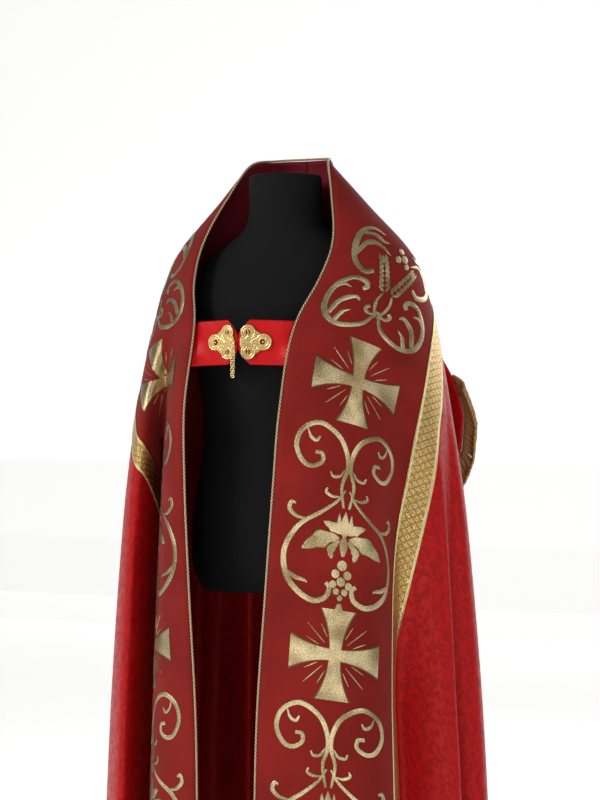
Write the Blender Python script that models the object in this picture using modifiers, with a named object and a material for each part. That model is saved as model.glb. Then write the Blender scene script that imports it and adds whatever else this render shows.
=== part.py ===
"""Cope vestment on a dress form. Metres, +Z up, the front faces -Y.

A cope is a half circle of cloth. Its straight edge makes both front edges and the neck. Every cloth
piece is worked out from one drape, which takes a place on the flat cut to a place in space:
`along` runs down the straight edge from the centre back, `across` runs away from that edge.
"""

import math
from collections import namedtuple

import bmesh
import bpy
import numpy as np
from mathutils import Vector

for old in list(bpy.data.objects):
    bpy.data.objects.remove(old, do_unlink=True)

# ---------------------------------------------------------------- sizes of the cut
EDGE_LENGTH = 1.60  # straight edge, centre back to hem corner
BACK_DEPTH = 1.47  # centre back, neck edge to hem
ORPHREY_WIDTH = 0.268
GALLOON_WIDTH = 0.046
FACING_WIDTH = 0.180
SEAM_GAP = 0.0004
SATIN = 0.0020
ORPHREY_CLOTH = 0.0015
FACING_CLOTH = 0.0010
GALLOON_CLOTH = 0.0010
LAYER_GAP = 0.0004
PIPING_RADIUS = 0.0020

# ---------------------------------------------------------------- the drape
# One row for each level: where the front edge, the side and the centre back hang.
Level = namedtuple("Level", "edge front_x front_y front_z side_x side_y side_z back_y back_z")
LEVELS = [
    Level(0.000, 0.000, 0.100, 1.538, 0.000, 0.100, 1.538, 0.100, 1.538),
    Level(0.060, 0.052, 0.078, 1.536, 0.053, 0.077, 1.535, 0.103, 1.482),
    Level(0.120, 0.077, 0.028, 1.527, 0.082, 0.032, 1.520, 0.112, 1.428),
    Level(0.195, 0.105, -0.014, 1.467, 0.146, 0.034, 1.452, 0.138, 1.363),
    Level(0.314, 0.131, -0.070, 1.366, 0.230, 0.040, 1.356, 0.186, 1.265),
    Level(0.372, 0.124, -0.101, 1.316, 0.248, 0.041, 1.305, 0.209, 1.217),
    Level(0.450, 0.103, -0.137, 1.252, 0.265, 0.042, 1.232, 0.234, 1.149),
    Level(0.621, 0.094, -0.190, 1.090, 0.292, 0.045, 1.075, 0.264, 0.996),
    Level(0.736, 0.088, -0.199, 0.975, 0.309, 0.046, 0.965, 0.276, 0.891),
    Level(0.922, 0.076, -0.205, 0.790, 0.328, 0.046, 0.785, 0.290, 0.721),
    Level(1.124, 0.062, -0.208, 0.588, 0.344, 0.046, 0.588, 0.300, 0.535),
    Level(1.360, 0.057, -0.210, 0.352, 0.357, 0.046, 0.355, 0.308, 0.318),
    Level(1.600, 0.055, -0.212, 0.112, 0.368, 0.046, 0.112, 0.316, 0.097),
]
# One row for each fold: angle from the centre back, in degrees, then its full depth and half width,
# how far its floor leans, and the edge distances at which it starts and is full.
Fold = namedtuple("Fold", "angle depth half_width lean start full")
FOLDS = [
    Fold(115.0, 0.102, 0.064, 0.00, 0.52, 1.12),
    Fold(90.0, 0.085, 0.026, 0.05, 0.60, 1.60),
    Fold(62.0, 0.125, 0.030, -0.05, 0.46, 1.60),
    Fold(42.0, 0.130, 0.028, -0.10, 0.50, 1.60),
    Fold(22.0, 0.145, 0.030, 0.12, 0.44, 1.60),
    Fold(2.0, 0.130, 0.028, -0.10, 0.48, 1.60),
    Fold(-18.0, 0.145, 0.030, 0.12, 0.46, 1.60),
    Fold(-38.0, 0.130, 0.027, -0.12, 0.50, 1.60),
    Fold(-60.0, 0.130, 0.030, 0.05, 0.44, 1.60),
    Fold(-86.0, 0.110, 0.028, -0.05, 0.50, 1.60),
    Fold(-145.0, 0.120, 0.030, -1.00, 0.46, 0.80),
]
FOLD_GROWTH = 0.90


def level_at(edge, name):
    """One column of LEVELS at an edge distance, as a smooth curve through the rows."""
    places = np.array([row.edge for row in LEVELS])
    values = np.array([getattr(row, name) for row in LEVELS])
    slopes = np.gradient(values, places)
    edge = np.clip(edge, 0.0, EDGE_LENGTH)
    row = np.clip(np.searchsorted(places, edge, side="right") - 1, 0, len(places) - 2)
    gap = places[row + 1] - places[row]
    t = (edge - places[row]) / gap
    start = (2 * t**3 - 3 * t**2 + 1) * values[row] + (t**3 - 2 * t**2 + t) * gap * slopes[row]
    end = (3 * t**2 - 2 * t**3) * values[row + 1] + (t**3 - t**2) * gap * slopes[row + 1]
    return start + end


def front_angle(edge):
    """The angle, from the centre back, at which a level's front edge hangs."""
    reach = np.clip(level_at(edge, "front_x") / np.maximum(level_at(edge, "side_x"), 1e-6), 0.0, 1.0)
    return math.pi - np.arcsin(reach)


def level_outline(edge, angle):
    """A point of the level's outline, before its folds."""
    side_x = level_at(edge, "side_x")
    side_y = level_at(edge, "side_y")
    side_z = level_at(edge, "side_z")
    turn = np.abs(angle)
    end = front_angle(edge)
    x = side_x * np.sin(turn) * np.sign(angle)
    behind = np.maximum(np.cos(turn), 0.0)
    before = np.maximum(-np.cos(turn), 0.0) / np.maximum(-np.cos(end), 0.02)
    y = side_y + (level_at(edge, "back_y") - side_y) * behind
    y = y + (level_at(edge, "front_y") - side_y) * before
    z = side_z + (level_at(edge, "back_z") - side_z) * behind**2
    z = z + (level_at(edge, "front_z") - side_z) * before**2
    return np.stack([x, y, z], axis=-1)


def hanging_point(edge, angle):
    """A point of the cloth: the outline with every fold pressed into it."""
    edge = np.asarray(edge, float)
    angle = np.asarray(angle, float)
    edge, angle = np.broadcast_arrays(edge, angle)
    point = level_outline(edge, angle)
    width = level_at(edge, "side_x")
    depth = 0.5 * (level_at(edge, "back_y") - level_at(edge, "front_y"))
    inward = np.stack([-np.sin(angle) * depth, -np.cos(angle) * width, 0 * edge], axis=-1)
    inward = inward / np.maximum(np.linalg.norm(inward, axis=-1, keepdims=True), 1e-9)
    sideways = np.stack([-inward[..., 1], inward[..., 0], 0 * edge], axis=-1)
    girth = np.maximum(0.5 * (width + depth), 0.05)
    for fold in FOLDS:
        grown = np.clip((edge - fold.start) / (fold.full - fold.start), 0.0, 1.0) ** FOLD_GROWTH
        away = (angle - math.radians(fold.angle)) * girth / fold.half_width
        press = (fold.depth * grown * np.exp(-(away**2)))[..., None]
        point = point + inward * press - sideways * press * fold.lean
    return point


# ---------------------------------------------------------------- flat cut to hanging cloth
TABLE_ROWS = 161
TABLE_STEPS = 1201
FRAME_REACH = 0.015
TRUE_LENGTH = 0.33  # the cloth keeps its true length this far in from the front edge
table_edges = np.linspace(0.0003, EDGE_LENGTH, TABLE_ROWS)
ellipse_turns = np.linspace(0.0, 0.5 * math.pi, 801)
ellipse_steps = np.hypot(EDGE_LENGTH * np.sin(ellipse_turns), BACK_DEPTH * np.cos(ellipse_turns))
ellipse_arcs = np.concatenate([[0.0], np.cumsum(0.5 * (ellipse_steps[1:] + ellipse_steps[:-1]))])
ellipse_arcs = ellipse_arcs * (ellipse_turns[1] - ellipse_turns[0])
QUARTER_HEM = ellipse_arcs[-1]


def angle_tables(side):
    """For each level, the angle at each even step of length from the front edge to the centre back."""
    angles = np.zeros((TABLE_ROWS, TABLE_STEPS))
    lengths = np.zeros(TABLE_ROWS)
    even = np.linspace(0.0, 1.0, TABLE_STEPS)
    for row, edge in enumerate(table_edges):
        turn = np.linspace(float(front_angle(edge)), 0.0, TABLE_STEPS)
        points = hanging_point(edge, side * turn)
        steps = np.linalg.norm(np.diff(points, axis=0), axis=1)
        arc = np.concatenate([[0.0], np.cumsum(steps)])
        lengths[row] = arc[-1]
        angles[row] = np.interp(even, arc / arc[-1], turn)
    return angles, lengths


TABLES = {1: angle_tables(1), -1: angle_tables(-1)}


def place_on_level(along, across):
    """The level and the angle of each place on the flat cut."""
    side = np.where(along < 0, -1, 1)
    reach = np.hypot(along / EDGE_LENGTH, across / BACK_DEPTH)
    turn = np.arctan2(across / BACK_DEPTH, np.abs(along) / EDGE_LENGTH)
    flat = reach * np.interp(turn, ellipse_turns, ellipse_arcs)
    half = np.maximum(reach * QUARTER_HEM, 1e-6)
    edge = np.clip(reach * EDGE_LENGTH, table_edges[0], EDGE_LENGTH)
    row = (edge - table_edges[0]) / (table_edges[1] - table_edges[0])
    low = np.clip(row.astype(int), 0, TABLE_ROWS - 2)
    part = row - low
    result = np.zeros_like(edge)
    for sign in (1, -1):
        angles, lengths = TABLES[sign]
        length = lengths[low] * (1 - part) + lengths[low + 1] * part
        true = np.minimum(TRUE_LENGTH, 0.45 * np.minimum(half, length))
        rest = true + (flat - true) * (length - true) / np.maximum(half - true, 1e-6)
        hung = np.where(flat < true, flat, rest) / length
        step = np.clip(hung, 0.0, 1.0) * (TABLE_STEPS - 1)
        left = np.clip(step.astype(int), 0, TABLE_STEPS - 2)
        over = step - left
        first = angles[low, left] * (1 - over) + angles[low, left + 1] * over
        second = angles[low + 1, left] * (1 - over) + angles[low + 1, left + 1] * over
        result = np.where(side == sign, sign * (first * (1 - part) + second * part), result)
    return edge, result


def cloth_point(along, across):
    along = np.asarray(along, float)
    across = np.asarray(across, float)
    along, across = np.broadcast_arrays(along, across)
    edge, angle = place_on_level(along, across)
    return hanging_point(edge, angle)


def unit(vectors):
    return vectors / np.maximum(np.linalg.norm(vectors, axis=-1, keepdims=True), 1e-12)


def cloth_frame(along, across):
    """Point, outward normal, and the direction away from the straight edge, within the cloth."""
    step = 0.003
    along = np.asarray(along, float)
    across = np.asarray(across, float)
    along, across = np.broadcast_arrays(along, across)
    down = cloth_point(along + step, across) - cloth_point(along - step, across)
    inner = np.maximum(across - FRAME_REACH, 0.0)
    away = cloth_point(along, inner + 2 * FRAME_REACH) - cloth_point(along, inner)
    normal = unit(np.cross(down, away))
    return cloth_point(along, across), normal, unit(away)


# ---------------------------------------------------------------- making solids
build = bpy.data.collections.new("cope_vestment")
bpy.context.scene.collection.children.link(build)


def material(name, colour, roughness, metallic=0.0):
    made = bpy.data.materials.new(name)
    made.use_nodes = True
    shader = made.node_tree.nodes["Principled BSDF"]
    shader.inputs["Base Color"].default_value = (*colour, 1.0)
    shader.inputs["Roughness"].default_value = roughness
    shader.inputs["Metallic"].default_value = metallic
    return made


SCARLET = (0.52, 0.012, 0.016)
CRIMSON = (0.23, 0.014, 0.018)
LINING_RED = (0.20, 0.012, 0.026)
GOLD = (0.66, 0.50, 0.20)
BRASS = (0.80, 0.60, 0.24)
BLACK = (0.012, 0.012, 0.014)
STEEL = (0.45, 0.45, 0.46)
NO_COLOUR = ("none", (0.5, 0.5, 0.5), 0.5, 0.0)


def new_object(name, shape, paint):
    mesh = bpy.data.meshes.new(name)
    bmesh.ops.recalc_face_normals(shape, faces=shape.faces)
    if shape.calc_volume(signed=True) < 0:
        bmesh.ops.reverse_faces(shape, faces=shape.faces)
    shape.to_mesh(mesh)
    shape.free()
    made = bpy.data.objects.new(name, mesh)
    mesh.materials.append(material(name, *paint))
    build.objects.link(made)
    return made


def wall(name, outer, inner, paint):
    """A closed wall between two grids of points of the same size."""
    rows, columns = outer.shape[:2]
    shape = bmesh.new()
    layers = []
    for grid in (outer, inner):
        layers.append([[shape.verts.new(grid[i, j]) for j in range(columns)] for i in range(rows)])
    front, back = layers
    for i in range(rows - 1):
        for j in range(columns - 1):
            # Every layer splits its squares the same way, so that layers never cross.
            shape.faces.new((front[i][j], front[i][j + 1], front[i + 1][j]))
            shape.faces.new((front[i][j + 1], front[i + 1][j + 1], front[i + 1][j]))
            shape.faces.new((back[i][j], back[i + 1][j], back[i][j + 1]))
            shape.faces.new((back[i][j + 1], back[i + 1][j], back[i + 1][j + 1]))
    rim = [(i, 0) for i in range(rows)]
    rim += [(rows - 1, j) for j in range(1, columns)]
    rim += [(i, columns - 1) for i in range(rows - 2, -1, -1)]
    rim += [(0, j) for j in range(columns - 2, 0, -1)]
    for (i, j), (k, m) in zip(rim, rim[1:] + rim[:1]):
        shape.faces.new((front[i][j], front[k][m], back[k][m], back[i][j]))
    bmesh.ops.remove_doubles(shape, verts=shape.verts, dist=0.00005)
    bmesh.ops.dissolve_degenerate(shape, edges=shape.edges, dist=0.00002)
    return new_object(name, shape, paint)


def tube(name, path, radius, sides, paint):
    """A round cord along a path, its rings square to the path."""
    ahead = unit(np.gradient(path, axis=0))
    across = unit(np.cross(ahead, np.array([0.31, -0.87, 0.38])))
    upward = np.cross(ahead, across)
    shape = bmesh.new()
    rings = []
    for centre, one, two in zip(path, across, upward):
        turns = [2 * math.pi * k / sides for k in range(sides)]
        spots = [centre + radius * (math.cos(t) * one + math.sin(t) * two) for t in turns]
        rings.append([shape.verts.new(spot) for spot in spots])
    for first, second in zip(rings, rings[1:]):
        for k in range(sides):
            n = (k + 1) % sides
            shape.faces.new((first[k], first[n], second[n], second[k]))
    shape.faces.new(rings[0][::-1])
    shape.faces.new(rings[-1])
    return new_object(name, shape, paint)


# ---------------------------------------------------------------- orphrey, facing, galloon, piping
STATIONS = np.array(
    [0.0, 0.03, 0.065, 0.10, 0.145, 0.20, 0.26, 0.32, 0.385, 0.46]
    + [0.54, 0.61, 0.68, 0.75, 0.83, 0.93, 1.06, 1.22, 1.40, 1.60]
)
CENTRE_SEAM = 0.0003
OUTER_LINE = ORPHREY_WIDTH + 0.5 * GALLOON_WIDTH


def strip_places(side, lines):
    """Stations by lines: `along` shortens a little away from the edge, to follow the hem."""
    lines = np.asarray(lines)
    starts = np.maximum(STATIONS, CENTRE_SEAM)
    along = side * starts[:, None] * np.sqrt(1 - (lines[None, :] / BACK_DEPTH) ** 2)
    return along, np.broadcast_to(lines[None, :], along.shape)


def strip_wall(name, side, lines, outer, thickness, paint):
    point, normal, _ = cloth_frame(*strip_places(side, lines))
    # Both sides run the same way round the back, as the body does.
    point = point[:, ::side]
    normal = normal[:, ::side]
    return wall(name, point + normal * outer, point + normal * (outer - thickness), paint)


ORPHREY_LINES = [0.0, 0.06, 0.12, 0.18, 0.215, 0.245, ORPHREY_WIDTH - SEAM_GAP]
FACING_LINES = [0.0, 0.06, 0.12, 0.18]
GALLOON_LINES = [0.245, ORPHREY_WIDTH, OUTER_LINE]
FACING_LEVEL = -(ORPHREY_CLOTH + 2 * LAYER_GAP)
for side, hand in ((1, "left"), (-1, "right")):
    strip_wall(f"orphrey_{hand}", side, ORPHREY_LINES, 0.0, ORPHREY_CLOTH, (CRIMSON, 0.7))
    strip_wall(f"facing_{hand}", side, FACING_LINES, FACING_LEVEL, FACING_CLOTH, (LINING_RED, 0.6))
    galloon_level = LAYER_GAP + GALLOON_CLOTH
    strip_wall(f"galloon_{hand}", side, GALLOON_LINES, galloon_level, GALLOON_CLOTH, (GOLD, 0.35, 0.8))
    edge_along, edge_across = strip_places(side, [0.0])
    edge_along[0, 0] = side * 0.0020
    point, normal, away = cloth_frame(edge_along[:, 0], edge_across[:, 0])
    cord = point - away * (PIPING_RADIUS + 0.0008) - normal * 0.0012
    tube(f"piping_{hand}", cord, PIPING_RADIUS, 6, (GOLD, 0.4, 0.7))


# ---------------------------------------------------------------- the half circle of satin
BODY_COLUMNS = 70
BODY_LINES = [ORPHREY_WIDTH + SEAM_GAP, OUTER_LINE, OUTER_LINE + 0.012, OUTER_LINE + 0.026]


def body_places():
    """Rows run from seam to seam round the back; the first row is the centre back of the seam."""
    edges = []
    angles = []
    for station in STATIONS:
        ends = []
        for side in (1, -1):
            lines = np.array(BODY_LINES)
            along = side * max(station, CENTRE_SEAM) * np.sqrt(1 - (lines / BACK_DEPTH) ** 2)
            ends.append(place_on_level(along, lines))
        (left_edge, left_angle), (right_edge, right_angle) = ends
        t = np.linspace(0.0, 1.0, BODY_COLUMNS)[1:-1]
        t = t - 0.055 * np.sin(2 * math.pi * t) / math.pi
        row_edge = left_edge[-1] + (right_edge[-1] - left_edge[-1]) * t
        row_angle = left_angle[-1] + (right_angle[-1] - left_angle[-1]) * t
        edges.append(np.concatenate([left_edge, row_edge, right_edge[::-1]]))
        angles.append(np.concatenate([left_angle, row_angle, right_angle[::-1]]))
    return np.array(edges), np.array(angles)


def level_frame(edge, angle):
    """Point and outward normal of the cloth at a level and angle."""
    up = np.clip(edge - 0.003, 0.0, EDGE_LENGTH)
    low = np.clip(edge + 0.003, 0.0, EDGE_LENGTH)
    down = hanging_point(low, angle) - hanging_point(up, angle)
    round_back = hanging_point(edge, angle - 0.01) - hanging_point(edge, angle + 0.01)
    return hanging_point(edge, angle), unit(np.cross(down, round_back))


body_edge, body_angle = body_places()
body_point, body_normal = level_frame(body_edge, body_angle)
wall("body", body_point, body_point - body_normal * SATIN, (SCARLET, 0.4))


# ---------------------------------------------------------------- hood on the back, with its fringe
HOOD_LENGTH = 0.40
HOOD_CLOTH = 0.003
FRINGE_REACH = 0.060
FRINGE_DEPTH = 0.006
FRINGE_STAND_OUT = 0.022
HOOD_LIFT = 0.006
# One row for each height on the hood: distance below its top edge, half width.
HoodRow = namedtuple("HoodRow", "down half_width")
HOOD = [
    HoodRow(0.00, 0.170),
    HoodRow(0.06, 0.194),
    HoodRow(0.12, 0.211),
    HoodRow(0.18, 0.217),
    HoodRow(0.24, 0.208),
    HoodRow(0.29, 0.180),
    HoodRow(0.33, 0.140),
    HoodRow(0.37, 0.084),
    HoodRow(0.40, 0.020),
]


def hood_point(down, aside, lift):
    """The top follows the cloth under the orphrey; lower down the hood hangs stiff and nearly flat."""
    down = np.asarray(down, float)
    aside = np.asarray(aside, float)
    seat, normal, _ = cloth_frame(aside, np.full_like(aside, OUTER_LINE + 0.004) + 0.25 * down)
    seat = seat + normal * (HOOD_LIFT + lift)
    top = float(cloth_point(0.0, OUTER_LINE)[2])
    height = top - down
    edges = np.array([row.edge for row in LEVELS])
    backs = np.array([row.back_z for row in LEVELS])
    level = np.interp(-height, -backs, edges)
    flat = np.stack([aside * 1.06, level_at(level, "back_y") + 0.020 + lift, height], axis=-1)
    flat[..., 1] = flat[..., 1] + 0.10 * down * np.abs(aside) - 0.25 * aside**2
    blend = np.clip(down / 0.16, 0.0, 1.0)[..., None]
    blend = blend * blend * (3 - 2 * blend)
    return seat * (1 - blend) + flat * blend


def hood_grid(inset, lift, columns):
    downs = np.array([row.down for row in HOOD])
    halves = np.array([row.half_width for row in HOOD]) - inset
    halves = np.maximum(halves, 0.012)
    downs = np.minimum(downs, HOOD_LENGTH - inset)
    spread = np.linspace(-1.0, 1.0, columns)
    aside = -halves[:, None] * spread[None, :]
    down = np.broadcast_to(downs[:, None], aside.shape)
    return hood_point(down, aside, lift)


hood_outer = hood_grid(0.0, HOOD_CLOTH, 9)
wall("hood", hood_outer, hood_grid(0.0, 0.0, 9), (SCARLET, 0.4))


def hood_edge(inset, lift):
    """The hood's free edge, from its left top corner round the point to the right one."""
    rows = [row for row in HOOD if row.down >= 0.12]
    down = np.array([min(row.down, HOOD_LENGTH) for row in rows])
    half = np.array([max(row.half_width - inset, 0.012) for row in rows])
    down = np.concatenate([down - inset * down / HOOD_LENGTH, (down - inset * down / HOOD_LENGTH)[::-1]])
    aside = np.concatenate([half, -half[::-1]])
    return hood_point(down, aside, lift)


# The cords hang straight down: below a level edge they reach their full length, and beside an
# upright edge they only stand out a little.
fringe_top = hood_edge(-0.004, HOOD_CLOTH)
run = unit(np.gradient(fringe_top[:, [0, 2]], axis=0))
level_part = np.abs(run[:, 0])
outward = np.sign(fringe_top[:, 0]) * FRINGE_STAND_OUT * (1 - 0.6 * level_part)
drop = 0.008 + (FRINGE_REACH - 0.008) * level_part
fringe_low = fringe_top + np.stack([outward, 0 * drop, -drop], axis=-1)
outer_shift = np.array([0.0, FRINGE_DEPTH, 0.0])
fringe_outer = np.stack([fringe_top + outer_shift, fringe_low + outer_shift], axis=1)
fringe_inner = np.stack([fringe_top, fringe_low], axis=1)
wall("hood_fringe", fringe_outer, fringe_inner, (GOLD, 0.6, 0.4))

# ---------------------------------------------------------------- straps of the clasp
STRAP_HALF_HEIGHT = 0.038
STRAP_CLOTH = 0.0016
STRAP_FRONT_Y = -0.1665
CLASP_HEIGHT = 1.210
STRAP_TUCK = 0.030  # sewn length behind the front edge
PLATE_THICKNESS = 0.0020


def edge_place(height):
    """Distance down the straight edge at which the front edge hangs at this height."""
    down = np.linspace(0.2, 1.0, 401)
    return float(np.interp(-height, -cloth_point(down, 0.0 * down)[:, 2], down))


def strap_grids(side):
    along = edge_place(CLASP_HEIGHT)
    inside = -(ORPHREY_CLOTH + FACING_CLOTH + 0.0060)
    places = np.array([0.0, 0.5, 1.0]) * STRAP_TUCK
    heights = np.array([-1.0, -0.5, 0.0, 0.5, 1.0]) * STRAP_HALF_HEIGHT
    tucked = []
    for height in heights:
        row_along = edge_place(CLASP_HEIGHT + height)
        point, normal, _ = cloth_frame(np.full(3, side * row_along), places)
        tucked.append(point + normal * inside)
    tucked = np.array(tucked)
    tip = side * 0.0008
    # The strap is flat where its plate lies, and turns to meet the front edge beyond it.
    recede = (tucked[2, 0, 1] - STRAP_FRONT_Y) / abs(tucked[2, 0, 0])
    rows = []
    for k, height in enumerate(heights):
        edge = tucked[k, 0]
        round_off = 0.026 * (1 - math.sqrt(1 - 0.96 * (height / STRAP_HALF_HEIGHT) ** 2))
        start = np.array([tip + side * round_off, STRAP_FRONT_Y, CLASP_HEIGHT + height])
        middle = np.array([start + (edge - start) * t for t in (0.0, 0.12, 0.4, 0.72)])
        middle[:, 1] = STRAP_FRONT_Y + np.abs(middle[:, 0]) * recede
        rows.append(np.concatenate([middle, tucked[k]]))
    return np.array(rows), along


def strap_lean(side):
    rows, _ = strap_grids(side)
    run = rows[2, 4] - rows[2, 0]
    return math.atan2(run[1], abs(run[0]))


for side, hand in ((1, "left"), (-1, "right")):
    rows, _ = strap_grids(side)
    back_way = unit(np.cross(np.gradient(rows, axis=1), np.gradient(rows, axis=0))) * -side
    wall(f"strap_{hand}", rows, rows + back_way * STRAP_CLOTH, (SCARLET, 0.35))

# ---------------------------------------------------------------- gold clasp
# One row for each lobe of a plate: distance from the middle, height, radius.
Lobe = namedtuple("Lobe", "aside height radius")
LOBES = [Lobe(0.0200, 0.0165, 0.0130), Lobe(0.0470, 0.0, 0.0140), Lobe(0.0200, -0.0165, 0.0130)]
PLATE_HOLES = [Lobe(0.0200, 0.0165, 0.0042), Lobe(0.0200, -0.0165, 0.0042), Lobe(0.0450, 0.0, 0.0045)]
PIN_RADIUS = 0.0013
PIN_LENGTH = 0.0060
PIN_SPOT = (-0.0062, 1.2120)


PIN_HEAD = 0.0022

helpers = bpy.data.collections.new("cutters")
bpy.context.scene.collection.children.link(helpers)


def to_helpers(made):
    build.objects.unlink(made)
    helpers.objects.link(made)
    made.hide_render = True
    made.display_type = "WIRE"
    return made


def upright_cylinder(name, x, z, near, far, radius, sides, paint):
    """A round bar from y = near to y = far, seen end on from the front."""
    shape = bmesh.new()
    bmesh.ops.create_cone(
        shape, cap_ends=True, segments=sides, radius1=radius, radius2=radius, depth=far - near
    )
    turn = Vector((0, 0, 1)).rotation_difference(Vector((0, 1, 0))).to_matrix()
    bmesh.ops.rotate(shape, verts=shape.verts, matrix=turn)
    bmesh.ops.translate(shape, verts=shape.verts, vec=Vector((x, 0.5 * (near + far), z)))
    return new_object(name, shape, paint)


def boolean(made, other, operation):
    change = made.modifiers.new(operation.lower(), "BOOLEAN")
    change.operation = operation
    change.solver = "EXACT"
    change.object = other


def lobed_outline(rays):
    """The plate's outline: the farthest of its round lobes along each ray from its middle."""
    middle = np.array([0.026, 0.0])
    outline = []
    for k in range(rays):
        way = np.array([math.cos(2 * math.pi * k / rays), math.sin(2 * math.pi * k / rays)])
        best = 0.0
        for lobe in LOBES + [Lobe(0.026, 0.0, 0.0205)]:
            gap = np.array([lobe.aside, lobe.height]) - middle
            along = gap @ way
            inside = lobe.radius**2 - gap @ gap + along**2
            if inside > 0:
                best = max(best, along + math.sqrt(inside))
        outline.append(middle + best * way)
    return outline


PLATE_BACK_Y = STRAP_FRONT_Y - LAYER_GAP
PLATE_FRONT_Y = PLATE_BACK_Y - PLATE_THICKNESS


def clasp_plate(side, hand):
    """A flat pierced plate, turned to lie on its strap."""
    lean = strap_lean(side)
    shape = bmesh.new()
    spots = lobed_outline(60)
    back = [shape.verts.new((side * a, PLATE_BACK_Y, CLASP_HEIGHT + b)) for a, b in spots]
    front = [shape.verts.new((side * a, PLATE_FRONT_Y, CLASP_HEIGHT + b)) for a, b in spots]
    shape.faces.new(back)
    shape.faces.new(front[::-1])
    for k in range(len(spots)):
        n = (k + 1) % len(spots)
        shape.faces.new((back[k], back[n], front[n], front[k]))
    plate = new_object(f"clasp_plate_{hand}", shape, (BRASS, 0.3, 1.0))
    for number, hole in enumerate(PLATE_HOLES):
        cutter = upright_cylinder(
            f"cut_{hand}_{number}", side * hole.aside, CLASP_HEIGHT + hole.height,
            PLATE_FRONT_Y - 0.002, PLATE_BACK_Y + 0.002, hole.radius, 20, NO_COLOUR[1:],
        )
        boolean(plate, to_helpers(cutter), "DIFFERENCE")
    if side < 0:
        x, z = PIN_SPOT
        stem = upright_cylinder(
            "pin_stem", x, z, PLATE_FRONT_Y - PIN_LENGTH, PLATE_BACK_Y - 0.0005,
            PIN_RADIUS, 16, NO_COLOUR[1:],
        )
        head = upright_cylinder(
            "pin_head", x, z, PLATE_FRONT_Y - PIN_LENGTH - 0.001, PLATE_FRONT_Y - PIN_LENGTH + 0.0002,
            PIN_HEAD, 16, NO_COLOUR[1:],
        )
        boolean(plate, to_helpers(stem), "UNION")
        boolean(plate, to_helpers(head), "UNION")
    # The plate turns about the upright line where the two straps meet.
    bpy.context.view_layer.update()
    graph = bpy.context.evaluated_depsgraph_get()
    mesh = bpy.data.meshes.new_from_object(plate.evaluated_get(graph))
    plate.modifiers.clear()
    plate.data = mesh
    swing = 0.0 if side < 0 and lean < 0 else lean
    for vertex in mesh.vertices:
        away = abs(vertex.co.x) - abs(PIN_SPOT[0]) - PIN_HEAD
        if away > 0:
            vertex.co.y += math.tan(swing) * away
    return plate


for side, hand in ((1, "left"), (-1, "right")):
    clasp_plate(side, hand)

DROP_RING = 0.0034
DROP_WIRE = 0.0010
DROP_WIDTH = 0.0085
DROP_THICKNESS = 0.0026
DROP_LENGTH = 0.056
drop_y = PLATE_FRONT_Y - 0.5 * PIN_LENGTH
ring_centre = Vector((PIN_SPOT[0], drop_y, PIN_SPOT[1] - (DROP_RING - DROP_WIRE - PIN_RADIUS) + 0.00035))

bpy.ops.mesh.primitive_torus_add(
    major_radius=DROP_RING, minor_radius=DROP_WIRE, major_segments=28, minor_segments=8
)
ring = bpy.context.object
ring.name = "clasp_drop"
for collection in list(ring.users_collection):
    collection.objects.unlink(ring)
build.objects.link(ring)
ring.data.materials.append(material("clasp_drop", BRASS, 0.3, 1.0))
turn = Vector((0, 0, 1)).rotation_difference(Vector((0, 1, 0))).to_matrix()
for vertex in ring.data.vertices:
    vertex.co = turn @ vertex.co + ring_centre

shape = bmesh.new()
bmesh.ops.create_cube(shape, size=1.0)
bmesh.ops.scale(shape, verts=shape.verts, vec=Vector((DROP_WIDTH, DROP_THICKNESS, DROP_LENGTH)))
upright = [edge for edge in shape.edges if abs(edge.verts[0].co.y - edge.verts[1].co.y) > 0.001]
bmesh.ops.bevel(shape, geom=upright, offset=0.0032, segments=4, profile=0.5, affect="EDGES", material=-1)
low = ring_centre.z - DROP_RING - 0.5 * DROP_LENGTH
bmesh.ops.translate(shape, verts=shape.verts, vec=Vector((ring_centre.x, drop_y, low)))
strand = to_helpers(new_object("drop_strand", shape, NO_COLOUR[1:]))
boolean(ring, strand, "UNION")

# ---------------------------------------------------------------- the dress form
# One row for each height: half width, half depth, how far its middle stands back.
FormRow = namedtuple("FormRow", "height half_width half_depth middle_y")
FORM = [
    FormRow(0.780, 0.150, 0.112, 0.004),
    FormRow(0.800, 0.160, 0.120, 0.004),
    FormRow(0.900, 0.168, 0.124, 0.002),
    FormRow(0.980, 0.156, 0.114, 0.002),
    FormRow(1.060, 0.146, 0.104, 0.002),
    FormRow(1.140, 0.154, 0.112, 0.000),
    FormRow(1.220, 0.166, 0.120, 0.000),
    FormRow(1.290, 0.174, 0.108, 0.008),
    FormRow(1.335, 0.170, 0.088, 0.016),
    FormRow(1.365, 0.146, 0.076, 0.018),
    FormRow(1.390, 0.108, 0.068, 0.018),
    FormRow(1.412, 0.078, 0.063, 0.016),
    FormRow(1.440, 0.066, 0.062, 0.013),
    FormRow(1.475, 0.064, 0.062, 0.010),
    FormRow(1.500, 0.064, 0.062, 0.010),
]
FORM_SIDES = 40
POLE_RADIUS = 0.016
BASE_RADIUS = 0.190
BASE_HEIGHT = 0.022
CAP_HEIGHT = 0.008


def form_torso():
    shape = bmesh.new()
    rings = []
    for row in FORM:
        turns = [2 * math.pi * k / FORM_SIDES for k in range(FORM_SIDES)]
        ring_points = [
            (row.half_width * math.cos(t), row.middle_y + row.half_depth * math.sin(t), row.height)
            for t in turns
        ]
        rings.append([shape.verts.new(point) for point in ring_points])
    for first, second in zip(rings, rings[1:]):
        for k in range(FORM_SIDES):
            n = (k + 1) % FORM_SIDES
            shape.faces.new((first[k], first[n], second[n], second[k]))
    shape.faces.new(rings[0][::-1])
    shape.faces.new(rings[-1])
    return new_object("form_torso", shape, (BLACK, 0.85))


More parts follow.
